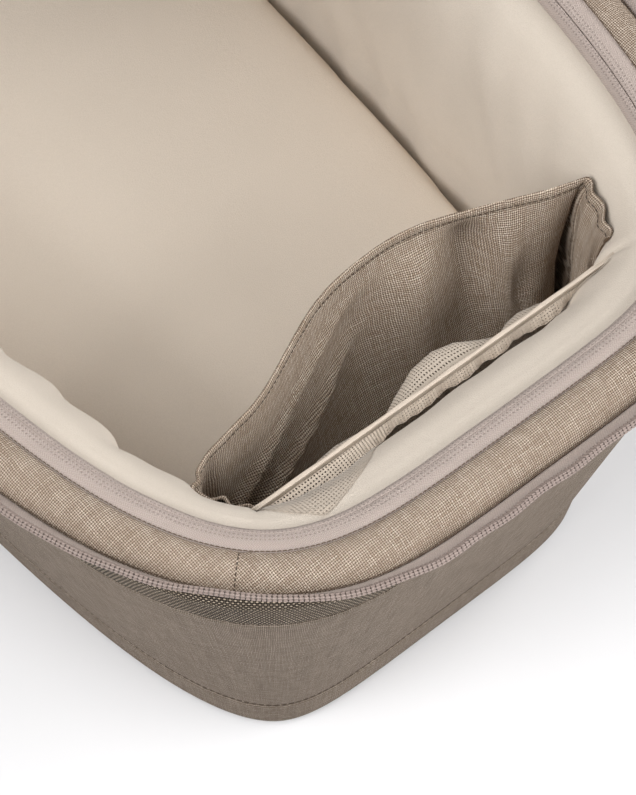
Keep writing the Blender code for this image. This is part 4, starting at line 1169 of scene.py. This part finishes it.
tooth_plan = np.array(
    [
        (-0.00072, -0.0006), (0.00072, -0.0006), (0.00060, 0.0001), (0.00094, 0.0007),
        (0.00094, 0.0014), (0.00062, 0.0018), (0.00062, 0.0022), (0.00092, 0.0026),
        (-0.00092, 0.0026), (-0.00062, 0.0022), (-0.00062, 0.0018), (-0.00094, 0.0014),
        (-0.00094, 0.0007), (-0.00060, 0.0001),
    ]
)
tooth_layers = (
    (0.8, -0.0014), (1, -0.0011), (0.62, -0.0006), (1, -0.0002), (1, 0.0002), (0.62, 0.0006),
    (1, 0.0011), (0.8, 0.0014),
)
tooth_middle = np.array([0, 0.0014])
tooth_points = [
    (x, y, above)
    for size, above in tooth_layers
    for x, y in tooth_middle + (tooth_plan - tooth_middle) * size
]
bare_end, stop_back = 0.0066, 0.0035
first_arc, last_arc = ring_arcs[on_open[0]] + bare_end, ring_arcs[on_open[-1]] - bare_end


def frames_on_flare(arcs, along):
    """Places and axes on the flaring tape: along the rim, out along the tape, and above it."""
    edge_sway = tape_sway * drift(arc_column, tape_width, 0.05, 41)
    at, out, way, start, sag = (
        read_off(arcs, ring_arcs[:-1], values)
        for values in (ring_at, ring_out, flare_way, bend, edge_sway)
    )
    out = unit(out)
    zero = np.zeros((len(arcs), 1))
    ahead = np.concatenate([-out[:, 1:], out[:, :1], zero], axis=1)
    outward = np.concatenate([out * way[:, :1], way[:, 1:]], axis=1)
    above = np.concatenate([-out * way[:, 1:], way[:, :1]], axis=1)
    start = np.concatenate([at + out * start[:, :1], start[:, 1:]], axis=1)
    return start + outward * along + above * sag, np.stack([ahead, outward, above], axis=1)


fine_arcs = np.linspace(first_arc, last_arc, 4000)
tooth_run = run_along(frames_on_flare(fine_arcs, tape_width)[0])
tooth_places = np.linspace(0, tooth_run[-1], int(tooth_run[-1] / tooth_pitch))
tooth_arcs = np.interp(tooth_places, tooth_run, fine_arcs)
centres, axes = frames_on_flare(tooth_arcs, tape_width)
tooth_faces = shell_faces(len(tooth_layers), len(tooth_plan))
teeth = copies("open_zip_tooth_row", tooth_points, tooth_faces, centres, axes, nylon)
open_cord = wire_along("open_zip_cord", centres, 0.00085, open_look)
stop_plan = rounded_plan(0.0029, 0.0015, 5, 16) + (0, 0.0013)
stop_layers = ((0.85, -0.0012), (1, -0.0008), (1, 0.0008), (0.85, 0.0012))
stop_points = [
    (x * size, y * size + 0.0002, above) for size, above in stop_layers for x, y in stop_plan
]
for side, arc in (("right", first_arc - stop_back), ("left", last_arc + stop_back)):
    centre, axis = frames_on_flare(np.array([arc]), tape_width)
    stop = copies(f"open_zip_end_{side}", stop_points, shell_faces(4, 16), centre, axis, nylon)
    fitted(stop, "cot", "zip_teeth", f"open_zip_stop_{side}")
fitted(open_tape, "cot", "zip_tape", "open_zip_tape")
fitted(teeth, "cot", "zip_teeth", "open_zip_teeth")
fitted(open_cord, "cot", "zip_tape")

# The vent band is sewn up to the tape where the tape stands higher, at the two foot corners
strip_picked = np.where((ring_at[:, 0] > 0) & (corner_share > 0.01))[0]
climb = np.clip(3 * corner_share[strip_picked], 0, 1)[:, None]
strip_low, plain_top, strip_thickness = 0.2190, 0.2205, 0.0006
strip_rows = np.linspace(0, 1, 12)
strip_top = plain_top + (bend[strip_picked, 1:] - 0.0006 - plain_top) * climb
strip_up = strip_low + (strip_top - strip_low) * strip_rows
beside_linen = np.interp(strip_up, crown_z[::-1], crown_x[::-1]) + 0.0009
inside_linen = np.interp(strip_up, (strip_low, 0.2225), (0.0156, 0.0168))
swing = climb * np.clip((strip_up - strip_low) / 0.0030, 0, 1)
strip_out = inside_linen + (beside_linen - inside_linen) * swing
strip_run = np.concatenate([strip_rows, strip_rows[::-1], [0]]) * 0.0075
for side, sign in (("right", -1), ("left", 1)):
    picked = ring_at[strip_picked, 1] * sign > 0
    where = strip_picked[picked]
    outer = around(strip_out[picked], strip_up[picked], where)
    inner = around(strip_out[picked] - strip_thickness, strip_up[picked], where)[:, ::-1]
    points = np.concatenate([outer, inner], axis=1)
    name = f"corner_vent_{side}"
    strip = grid(name, points, vent_weave, False, True, ring_arcs[where], strip_run)
    fitted(strip, "cot", "vent_weave")
root_out, root_up = on_flare(np.array([0.0002]), np.array([0.0009]), on_open)
root_path = around(root_out, root_up, on_open)[:, 0]
root_way = flare_way[on_open]
root_way = np.concatenate([-ring_out[on_open] * root_way[:, 1:], root_way[:, :1]], axis=1)
root_seam = stitched(
    "open_zip_seam_stitches", root_path, root_way, 0.0024, 0.0022, 0.0003, brown_thread
)
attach(root_seam, "cot")

# Net pocket and its elastic
# A cream flat elastic is drawn straight across the foot end. The knitted net hangs from it in
# three full scallops, with real holes, and is sewn to the liner at its ends and foot.
elastic_low, elastic_high, (elastic_x, _, elastic_z) = node_box("net_pocket_elastic")
elastic_reach = elastic_high[1]
net_yarn, tree, shader = new_material("net_yarn", Roughness=0.85, Sheen_Weight=0.2)
fuzz = noisy(tree, own_place(tree), 2400.0, 2.0)
base = tinted(tree, fuzz, shade(200, 187, 172), shade(174, 160, 145))
lay(tree, shader, base, None, fuzz, 0.0001)
anchor = np.array([plan_shift + 0.6 * rim_half_length, 0])


def kept_inside(points, clearance):
    """Draws points back towards the middle of the foot end until they clear the liner."""
    kept = points.copy()
    for row in range(points.shape[0]):
        line = ring_at + ring_out * base_face(points[row, :, 2].mean())[:, None] - anchor
        turns = np.arctan2(line[:, 1], line[:, 0])
        order = np.argsort(turns)
        reaches = np.linalg.norm(line, axis=1)[order]
        way = points[row, :, :2] - anchor
        limits = np.interp(np.arctan2(way[:, 1], way[:, 0]), turns[order], reaches)
        nearer = np.minimum(1, (limits - clearance) / np.linalg.norm(way, axis=1))
        kept[row, :, :2] = anchor + way * nearer[:, None]
    return kept


hole_pitch = 0.0015
cell_edge = np.array([(0, 0), (0.5, 0), (1, 0), (1, 0.5), (1, 1), (0.5, 1), (0, 1), (0, 0.5)])
hole_turns = np.radians(np.arange(8) * 45 - 135)
hole_ring = np.stack([np.cos(hole_turns), np.sin(hole_turns)], -1)


def knitted_net(name, wide, deep, laid, hole=0.26):
    """A net of so many holes each way; laid gives places from shares across and down."""
    columns, rows = np.meshgrid(np.arange(wide), np.arange(deep), indexing="ij")
    cells = np.stack([columns, rows], -1).reshape(-1, 1, 2)
    cell = np.concatenate([cell_edge, 0.5 + hole * hole_ring])
    places = (cells + cell) / (wide, deep)
    spots = laid(places[..., 0].ravel(), places[..., 1].ravel())
    starts = np.arange(len(cells))[:, None] * 16
    i = np.arange(8)
    j = (i + 1) % 8
    yarns = np.stack([starts + i, starts + j, starts + 8 + j, starts + 8 + i], -1).reshape(-1, 4)
    mesh = new_mesh(name, spots, yarns.tolist())
    with reworked(mesh) as shape:
        bmesh.ops.remove_doubles(shape, verts=shape.verts, dist=0.00002)
    return finish_mesh(mesh, net_yarn, 60)


# Fullness of the net's puffs under the elastic: place across in mm, size in mm
net_puffs = (
    (-92, 0), (-74, 0.5), (-62, 4.5), (-52, 5.5), (-40, 4), (-28, 3), (-18, 8), (-4, 14),
    (8, 15.5), (18, 13), (27, 7), (34, 3), (41, 6), (48, 7), (57, 5), (68, 1), (92, 0),
)
# How far the net's free edge lies out over the liner, in the same way
net_lobes = (
    (-101, 0), (-95, 10), (-91, 16), (-83, 25), (-77, 24), (-68, 21), (-58, 17), (-50, 13),
    (-43, 8), (-36, 4.5), (-28, 2.2), (-22, 2.8), (-12, 3.4), (-4, 2.6), (-1, 1.6), (3, 2.4),
    (10, 3.4), (17, 2.6), (20, 1.5), (24, 2.4), (30, 3.4), (35, 2.4), (38, 1.4), (44, 2.2),
    (52, 3.6), (60, 4.2), (66, 2.2), (68, 1.2), (92, 1.0),
)
net_top, net_height = elastic_low[2] - hair, 0.085


def hanging_net(across, down):
    down = np.interp(down, (0, 0.17, 0.45, 1), (0, 0.07, 0.35, 1))
    bulge = 0.011 * np.interp(down, np.linspace(0, 1, 7), (0, 0.55, 0.9, 1, 1, 0.8, 0.4))
    y = (2 * across - 1) * elastic_reach
    puffed = (down / 0.07) * np.exp(1 - down / 0.07)
    scallop = pillow_sizes(net_puffs, y) * puffed
    ends = 1 - np.abs(2 * across - 1) ** 4
    wave = 0.0016 * np.sin(math.pi * 5 * (2 * across - 1)) * np.sin(math.pi * down) * ends
    x = elastic_x - np.maximum(bulge * ends + wave, scallop)
    spots = np.stack([x, y, net_top + 0.0010 - net_height * down], -1)
    for band in np.array_split(np.argsort(spots[:, 2]), 60):
        spots[band] = kept_inside(spots[band][None], 0.0025)[0]
    return spots


liner_tree = BVHTree.FromPolygons(
    mesh_places(liner.data).tolist(), [list(face.vertices) for face in liner.data.polygons]
)


def lying_net(across, down, low, high):
    """The net's free edge, folded out under the elastic and over the liner."""
    y = low + (high - low) * across
    x = elastic_x + 0.0012 + pillow_sizes(net_lobes, y) * down
    z = elastic_low[2] + 0.0004 - 0.004 * down + 0.0006 * np.sin(y * 900) * down
    for i, spot in enumerate(zip(x, y)):
        hit = liner_tree.ray_cast(Vector((*spot, 0.3)), Vector((0, 0, -1)))[0]
        if hit:
            z[i] = max(z[i], hit.z + 0.0008)
    return np.stack([x, y, z], -1)


net = knitted_net("net_pocket_knit", int(2 * elastic_reach / hole_pitch), 66, hanging_net)
flap_end = -0.032
net_flap = knitted_net(
    "net_pocket_flap", 44, 14, lambda across, down: lying_net(across, down, -0.101, flap_end)
)
net_edge = knitted_net(
    "net_pocket_edge", 82, 4, lambda across, down: lying_net(across, down, flap_end, 0.092), 0.2
)
fitted(net, "cot", "net", "net_pocket")
fitted(net_flap, "cot", "net")
fitted(net_edge, "cot", "net")

ribbed, tree, shader = new_material("ribbed_elastic", Roughness=0.7)
parts = split(tree, own_place(tree))
groove, cross = ripples(tree, parts[2], 0.00062), ripples(tree, parts[1], 0.0009)
relief = maths(tree, "MULTIPLY_ADD", cross, 0.3, groove)
# The grooves are painted darker and the ridges lighter, as painted shade and light on the ribs.
high = eased(tree, relief, -1.0, 0.6)
base = tinted(tree, high, shade(164, 149, 133), shade(200, 186, 171))
lay(tree, shader, base, None, relief, 0.00012)
elastic_section = rounded_plan(0.0012, 0.0016, 4, 16)
elastic_section[:, 0] *= 1 - 0.28 * np.exp(-((elastic_section[:, 1] / 0.0006) ** 2))
elastic_rows = []
for share in np.linspace(-1, 1, 61):
    stretch = 1 + 0.05 * math.sin(share * 23) + 0.12 * abs(share) ** 8
    y = share * (elastic_reach + 0.004) - 0.0045 * (share < 0) * share**2
    elastic_rows.append(
        [(elastic_x + u * stretch, y, elastic_z + v * stretch) for u, v in elastic_section]
    )
elastic = grid("net_elastic", np.array(elastic_rows), ribbed, False, True)
fitted(elastic, "cot", "cream_jersey", "net_pocket_elastic")

# Linen pocket at the foot
# One piece of the rim's linen with a turned and topstitched hem. It leans into the cot, is
# gathered where it meets the near side of the liner and folded to a gusset on the far side.
hem_route = (
    (0.884, -0.540, 0), (0.858, -0.603, 0), (0.822, -0.600, 0.2), (0.802, -0.533, 0.6),
    (0.793, -0.445, 0.9), (0.780, -0.324, 1), (0.733, -0.086, 1), (0.7215, 0.092, 1),
    (0.728, 0.230, 1), (0.7536, 0.382, 1), (0.7815, 0.528, 0.8), (0.800, 0.632, 0.4),
    (0.824, 0.621, 0), (0.854, 0.590, 0), (0.872, 0.560, 0),
)
pocket_bottom = mattress_low + mattress_lift + mattress_crown + 2 * hair


def curve_through(points, count):
    """A count of places along a smooth curve through the points."""
    points = np.array(points, float)
    ends = np.concatenate([[2 * points[0] - points[1]], points, [2 * points[-1] - points[-2]]])
    whole = np.linspace(0, len(points) - 1, count)
    k = np.minimum(whole.astype(int), len(points) - 2)
    t = (whole - k)[:, None]
    a, b, c, d = (ends[k + step] for step in range(4))
    fast = (2 * a - 5 * b + 4 * c - d) * t**2 + (3 * b - a - 3 * c + d) * t**3
    return (2 * b + (c - a) * t + fast) / 2


pocket_route = curve_through(hem_route, 190)
pocket_falls = np.concatenate([np.linspace(0, 0.10, 12)[:-1], np.linspace(0.10, 1, 44)])
route_y = pocket_route[:, 1] * rim_half_width
across = pocket_route[:, 1]
x = plan_shift + pocket_route[:, 0] * rim_half_length
hem_near, hem_far = 0.030, 0.020
hem = rim_height - (hem_near + (hem_far - hem_near) * (across + 1) / 2)
foot_x = plan_shift + rim_half_length - 0.064 - 0.008 * (1 - across**2)
rows = []
for fall in pocket_falls:
    lean = np.clip(pocket_route[:, 2], 0, 1) * fall**1.3
    z = hem + (pocket_bottom - hem) * fall
    rows.append(np.stack([x + (foot_x - x) * lean, route_y, z], -1))
pocket_face = kept_inside(np.array(rows), 0.0024)

# Folds of the pocket: places along it at the hem and the foot, width, size in mm, and the
# shares down where it starts, is fullest and ends
pocket_folds = (
    (0.570, -0.105, 0.024, 5.0, 0.05, 0.35, 0.75), (0.50, 0.10, 0.026, -4.0, 0.12, 0.40, 0.8),
    (0.697, 0.03, 0.020, 4.6, 0.25, 0.50, 0.85), (0.22, 0.20, 0.020, -4.0, -0.02, 0.30, 1.2),
    (0.560, 0.54, 0.038, 7.5, 0.02, 0.25, 0.8), (0.620, 0.61, 0.020, -10.0, 0.02, 0.20, 0.7),
    (0.672, 0.66, 0.024, 7.0, 0.02, 0.25, 0.8), (0.48, 0.44, 0.034, -5.0, 0.05, 0.35, 0.9),
    (0.165, 0.17, 0.010, 1.4, -0.2, 0.10, 0.9), (0.115, 0.12, 0.012, -1.8, -0.2, 0.10, 0.9),
    (0.06, 0.06, 0.012, 1.5, -0.2, 0.10, 0.9),
)
# Where the far end folds in: place along, width, and the shift in mm at 40 mm down
pocket_creases = (
    (0.715, 0.040, 3.5, -9.0), (0.752, 0.018, -2.2, -2.7), (0.783, 0.017, -20.0, 5.0),
    (0.835, 0.026, 6.5, -4.5), (0.895, 0.040, 4.0, -9.0),
)
route_share = np.linspace(0, 1, len(pocket_route))
fold_depth = np.zeros(pocket_face.shape[:2])
for top, foot, width, depth, start, full, end in pocket_folds:
    middle = top + (foot - top) * pocket_falls[:, None]
    bump = np.exp(-(((route_share - middle) / width) ** 2))
    fold_depth += depth / 1000 * bump * swelling(pocket_falls, start, full, end)[:, None]
sinking = np.clip((pocket_face[0, :, 2] - pocket_face[..., 2]) / 0.04, 0, 1.35)
for middle, width, along_x, along_y in pocket_creases:
    bump = sinking * np.exp(-(((route_share - middle) / width) ** 2)) / 1000
    pocket_face[..., 0] += bump * along_x
    pocket_face[..., 1] += bump * along_y
wobble = 0.0011 * np.sin(route_share * 76) * (np.clip(route_share - 0.78, 0, 0.05) * 20)
wobble += 0.0010 * np.sin(route_share * 120) * (np.clip(0.2 - route_share, 0, 0.05) * 20)
ahead = np.gradient(pocket_face, axis=1)
outward = unit(np.stack([ahead[..., 1], -ahead[..., 0], 0 * ahead[..., 0]], -1))
pocket_face = pocket_face + outward * (fold_depth + wobble)[..., None]
pocket_face = kept_inside(pocket_face, 0.0012)
hem_share = pocket_falls / 0.045
hem_puff = 0.00055 * np.sin(np.clip(hem_share, 0, 1) * math.pi)
hem_puff = hem_puff - 0.0003 * np.exp(-(((hem_share - 1) / 0.25) ** 2))
half_cloth = 0.0005 + hem_puff
half_cloth[0] = 0.0001
front = pocket_face - outward * half_cloth[:, None, None]
back = pocket_face + outward * half_cloth[:, None, None]
pocket_points = np.concatenate([front[::-1], back]).transpose(1, 0, 2)
pocket_spans = np.concatenate([pocket_falls[::-1], pocket_falls, [0]]) * 0.12
pocket_lengths = run_along(pocket_face[0])
# This copy of the rim's linen has lighter threads, as painted light on the pocket face, and a
# darker gap colour, the painted shade between its threads.
pocket_linen_painted_lighter = cloth_look(
    "pocket_linen_painted_lighter", 0.00100, shade(88, 71, 57), shade(172, 152, 132), shade(228, 214, 198), 0.0005,
    0.35, (0.42, 0.86),
)
pocket = grid(
    "foot_pocket_cloth", pocket_points, pocket_linen_painted_lighter, False, True, pocket_lengths, pocket_spans
)
hem_line = int(np.argmin(np.abs(pocket_falls - 0.036)))
for label, line, way in (("head", front, -outward), ("foot", back, outward)):
    run_of_thread = stitched(
        f"foot_pocket_stitches_{label}", line[hem_line], way[hem_line], 0.0027, 0.0025, 0.00034,
        dark_thread,
    )
    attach(run_of_thread, "cot")
fitted(pocket, "cot", "linen", "foot_pocket")

# Hubs
# Moulded side brackets screwed through the rim, with steel pins for the hood and the handle.
steel, tree, shader = new_material("turned_steel", Metallic=1.0)
spot = own_place(tree)
marks = noisy(tree, spot, 900.0)
wear = grouped(tree, edge_wear, place=spot, width=0.0004)["Worn"]
base = tinted(tree, marks, shade(150, 150, 152), shade(112, 112, 115))
base = tinted(tree, wear, base, shade(210, 210, 212))
lay(tree, shader, base, maths(tree, "MULTIPLY_ADD", marks, 0.2, 0.25), marks, 0.00002)
black_plastic = moulded("black_plastic", shade(38, 37, 36), shade(84, 82, 80), 0.42)
button_look = moulded("soft_button", shade(74, 72, 70), shade(112, 109, 106), 0.6, 2200.0)
dress([name for name in cad_nodes if name.startswith("hub_bracket")], black_plastic)
dress([name for name in cad_nodes if name.startswith(("hub_screw", "hub_pin"))], steel)
dress([name for name in cad_nodes if "_button_" in name], button_look)

# Hood
# Three linen panels between two flat moulded bows. The rear panel hangs over the head of the
# rim; the middle and front panels fold inside it as the bows swing back.
canopy_half_width, canopy_half_length = rim_half_width + 0.008, rim_half_length + 0.006
hinge_x, hinge_z, set_back = -0.080 + plan_shift, 0.253, 0.080
hood_rises = [math.radians(a) for a in (0, 50, 95, 140)]
hood_cloth, hem_cloth, skirt_gap = 0.0011, 0.0012, 0.0018


def arch_line(half_length, half_width, power, back, start, depth, count):
    """A rounded hoop over the hinge line: distances from it and places across."""
    turns = np.linspace(0, math.pi / 2 + back / half_width, 6001)
    spots = rounded_box(turns, half_length, half_width, power) - (back, 0)
    spots = spots[spots[:, 0] >= start]
    steps = unit(np.gradient(spots, axis=0))
    spots = spots + np.stack([-steps[:, 1], steps[:, 0]], -1) * depth
    run = run_along(spots)
    half = read_off(np.linspace(0, run[-1], count), run, spots)
    half[0, 1] = 0
    return np.concatenate([half[:0:-1] * (1, -1), half])


def canopy_line(depth):
    size = (canopy_half_length, canopy_half_width, rim_squareness)
    return arch_line(*size, set_back, 0.014, depth, 90)


def swung(line, rise):
    """Points of an arch turned up from the head end about the hinge line."""
    x = hinge_x - line[:, 0] * math.cos(rise)
    return np.stack([x, line[:, 1], hinge_z + line[:, 0] * math.sin(rise)], -1)


# The first colour of each is the painted shade in the gaps between the threads.
hood_tones = shade(74, 56, 42), shade(164, 142, 121), shade(222, 204, 186)
hood_linen = cloth_look("hood_linen", 0.00100, *hood_tones, 0.0005, 0.3, (0.42, 0.86))
piping_look = cloth_look(
    "hood_piping", 0.0006, shade(90, 72, 56), shade(128, 108, 88), shade(166, 146, 122), 0.0001
)


def hood_panel(name, depth, low_rise, high_rise, fullness, skirt):
    """A panel with its seams turned under, slack between its bows, and its topstitching."""
    outer_line = canopy_line(depth)
    away = unit(np.gradient(outer_line, axis=0))
    away = np.stack([away[:, 1], -away[:, 0]], -1)
    rows, inner_rows = [], []
    across = np.linspace(-1, 1, len(outer_line))
    skirt_rows = 6 if skirt else 0
    for drop in np.linspace(1, 0, 7)[:skirt_rows]:
        row, inner = swung(outer_line, 0), swung(canopy_line(depth + hem_cloth), 0)
        row[:, 2] -= drop * (hinge_z - rim_height - skirt_gap)
        inner[:, 2] = row[:, 2]
        rows.append(row)
        inner_rows.append(inner)
    for share in np.linspace(0, 1, 46):
        held = np.sin(share * math.pi)
        ripple = np.sin(across * 9 + share * 7) * np.cos(across * 4 - share * 5)
        slack = held * (1 - across**6) * (fullness + 0.0006 * ripple)
        seam = -0.0003 * (np.exp(-((share / 0.02) ** 2)) + np.exp(-(((1 - share) / 0.02) ** 2)))
        rise = low_rise + (high_rise - low_rise) * share
        bulged = outer_line + away * (slack + seam)[:, None]
        rows.append(swung(bulged, rise))
        inner_rows.append(swung(bulged - away * hood_cloth, rise))
    outer, inner = np.array(rows), np.array(inner_rows)
    points = np.concatenate([outer, inner[::-1]]).transpose(1, 0, 2)
    panel = grid(name, points, hood_linen, False, True)
    normal = unit(np.cross(np.gradient(outer, axis=1), np.gradient(outer, axis=0)))
    if ((outer - outer.mean(axis=(0, 1))) * normal).sum() < 0:
        normal = -normal
    extras = []
    for label, row in (("low", 2 + skirt_rows), ("high", len(outer) - 3)):
        label = f"{name}_stitches_{label}"
        line, way = outer[row], normal[row]
        extras.append(stitched(label, line, way, 0.0034, 0.0027, 0.0003, dark_thread))
    edge = outer[-1] + normal[-1] * 0.0005
    extras.append(wire_along(f"{name}_piping", edge, 0.0011, piping_look, sides=8))
    return panel, extras


# Each panel's body, what holds it, its depth and fullness, and the length and area of its cloth
panels = (
    ("hood_rear", "cot", "hub_bracket_left", 0.0, 0.0035, 0.367, 0.196),
    ("hood_middle", "hood_middle", "hood_middle_bow", 0.0020, 0.0015, 0.307, 0.150),
    ("hood_front", "hood_front", "hood_front_bow", 0.0084, 0.0005, 0.302, 0.144),
)
hood_spans = zip(panels, hood_rises, hood_rises[1:])
for (name, body, holder, depth, fullness, cut, area), *rises in hood_spans:
    panel, extras = hood_panel(f"{name}_cloth", depth, *rises, fullness, body == "cot")
    fitted(panel, body, "linen", f"{name}_panel")
    for piece in extras:
        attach(piece, body)
dress(["hood_middle_bow", "hood_front_bow"], black_plastic)

# Carry handle
# A flat moulded hoop outside the hubs, with a leatherette sleeve sewn round its middle.
dress(["carry_handle"], black_plastic)
leather, tree, shader = new_material("leatherette", Roughness=0.55)
spot = own_place(tree)
pebbles = place(tree, "ShaderNodeTexVoronoi", {"Vector": spot, "Scale": 900.0}, feature="SMOOTH_F1")
creases = noisy(tree, spot, 130.0, 4.0)
relief = maths(tree, "MULTIPLY_ADD", creases, 0.5, pebbles.outputs["Distance"])
# Hollows and creases are painted darker and raised pebbles lighter, as painted shade and light on
# the grain.
high = eased(tree, relief, 0.3, 1.0)
base = tinted(tree, high, shade(74, 52, 38), shade(112, 82, 60))
lay(tree, shader, base, maths(tree, "MULTIPLY_ADD", creases, 0.2, 0.42), relief, 0.00025)

hoop_clearance, hoop_thickness, hoop_half_width = 0.033, 0.006, 0.2123
handle_reach = canopy_half_length - set_back + hoop_clearance + hoop_thickness
handle_top = arch_line(handle_reach, hoop_half_width, 4, 0, 0, hoop_thickness / 2, 400)
grip_x = node_box("handle_grip")[2][0]
grip_half_length, grip_half_wide, grip_half_tall = 0.065, 0.0133, 0.0068
seam_to_stitches, sleeve_groove, sleeve_sides = 0.0032, 0.0009, 48
sleeve = []
for y in np.linspace(-grip_half_length, grip_half_length, 66):
    reach = np.interp(y, handle_top[:, 1], handle_top[:, 0])
    near_end = np.clip((grip_half_length - abs(y)) / 0.006, 0, 1)
    swell = 0.90 + 0.10 * math.sin(near_end * math.pi / 2) + 0.006 * math.sin(y * 210)
    outline = rounded_plan(grip_half_wide * swell, grip_half_tall * swell, 3.4, sleeve_sides)
    seam = np.exp(-((outline[:, 0] / 0.0008) ** 2)) * (outline[:, 1] < 0) * sleeve_groove
    z = hinge_z + reach + outline[:, 1] + seam
    sleeve.append(np.stack([grip_x + outline[:, 0], np.full(sleeve_sides, y), z], -1))
sleeve = np.array(sleeve)
grip = grid("handle_grip_sleeve", sleeve, leather, False, True)
under_middle = slice(35, 37)
grip_seam = sleeve[3:-3, under_middle].mean(axis=1)
pale_thread = thread_look("pale_thread", shade(170, 150, 124), shade(212, 194, 168))
down = np.tile((0.0, 0.0, -1.0), (len(grip_seam), 1))
for label, offset in (("front", seam_to_stitches), ("back", -seam_to_stitches)):
    name, path = f"grip_stitches_{label}", grip_seam + (offset, 0, 0)
    line = stitched(name, path, down, 0.0046, 0.0034, 0.0005, pale_thread)
    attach(line, "handle")
fitted(grip, "handle", "leatherette", "handle_grip")

# Chassis adaptors
# A moulded block on each side with a tongue below that drops into a pushchair frame.
dress(["adaptor_left", "adaptor_right"], black_plastic)

# Studio
# The photographed view of the foot end, soft light as from windows on three sides, and a sheet
# of plain pale paper for a floor.
scene = bpy.context.scene


def aimed(name, data, spot, target):
    """Puts a lamp or camera at a spot, pointed at a target."""
    made = bpy.data.objects.new(name, data)
    made.location = spot
    made.rotation_euler = (Vector(target) - Vector(spot)).to_track_quat("-Z", "Y").to_euler()
    scene.collection.objects.link(made)
    return made


lamps = (
    ("window_near", (0.3, -1.9, 1.55), 1.2, 30), ("window_high_near", (0.2, -1.1, 2.1), 1.4, 25),
    ("window_foot", (2.1, 0.4, 1.4), 1.2, 26), ("window_foot_far", (1.6, 1.5, 1.4), 1.2, 24),
    ("window_front", (1.4, -1.3, 2.0), 1.4, 6), ("window_far", (0.4, 2.0, 1.2), 1.2, 18),
)
for name, spot, size, power in lamps:
    lamp = bpy.data.lights.new(name, "AREA")
    lamp.shape = "RECTANGLE"
    lamp.size, lamp.size_y, lamp.energy, lamp.color = size, size, power, (1, 1, 0.995)
    aimed(name, lamp, spot, (0.2, 0.0, 0.15))

photo_lens = bpy.data.cameras.new("photo_camera")
photo_lens.lens, photo_lens.sensor_width = 136.0, 36
target = Vector((0.3029, -0.0212, 0.150))
bearing, tilt, away = math.radians(50.54), math.radians(58.37), 1.3
to_camera = Vector(
    (math.cos(tilt) * math.sin(bearing), -math.cos(tilt) * math.cos(bearing), math.sin(tilt))
)
scene.camera = aimed("photo_camera", photo_lens, target + away * to_camera, target)
scene.view_settings.view_transform = "Standard"


def background_rays(tree):
    """One for the camera's own rays and for those that gloss and glass send past the cot."""
    rays = place(tree, "ShaderNodeLightPath").outputs
    beyond = maths(tree, "MAXIMUM", rays["Is Glossy Ray"], rays["Is Transmission Ray"])
    return maths(tree, "MAXIMUM", rays["Is Camera Ray"], beyond)


floor_mesh = bpy.data.meshes.new("studio_floor")
with reworked(floor_mesh) as shape:
    bmesh.ops.create_grid(shape, x_segments=12, y_segments=12, size=4.0)
floor = bpy.data.objects.new("studio_floor", floor_mesh)
floor.location = (0.0, 0.0, cad_low[2] - 0.0004)
scene.collection.objects.link(floor)
paper, tree, shader = new_material("studio_paper", Roughness=0.9)
pulp = noisy(tree, own_place(tree), 3.0)
lay(tree, shader, tinted(tree, pulp, shade(233, 233, 235), shade(229, 229, 231)))
# Away from the cot the paper fades to the white of the studio behind it
parts = split(tree, own_place(tree))
reach = maths(tree, "SQRT", maths(tree, "ADD", *(maths(tree, "POWER", v, 2.0) for v in parts[:2])))
fade = maths(tree, "MULTIPLY", eased(tree, reach, 0.75, 1.9), background_rays(tree))
faded = tinted(tree, fade, (0, 0, 0, 1), (1, 1, 1, 1))
tree.links.new(faded, shader.inputs["Emission Color"])
shader.inputs["Emission Strength"].default_value = 1.0
floor_mesh.materials.append(paper)

scene.world = bpy.data.worlds.new("studio_world")
scene.world.use_nodes = True
tree = scene.world.node_tree
sky = tree.nodes["Background"]
sky_colour = tinted(tree, background_rays(tree), (0.03, 0.03, 0.03, 1), (1, 1, 1, 1))
tree.links.new(sky_colour, sky.inputs["Color"])
sky.inputs["Strength"].default_value = 1.0
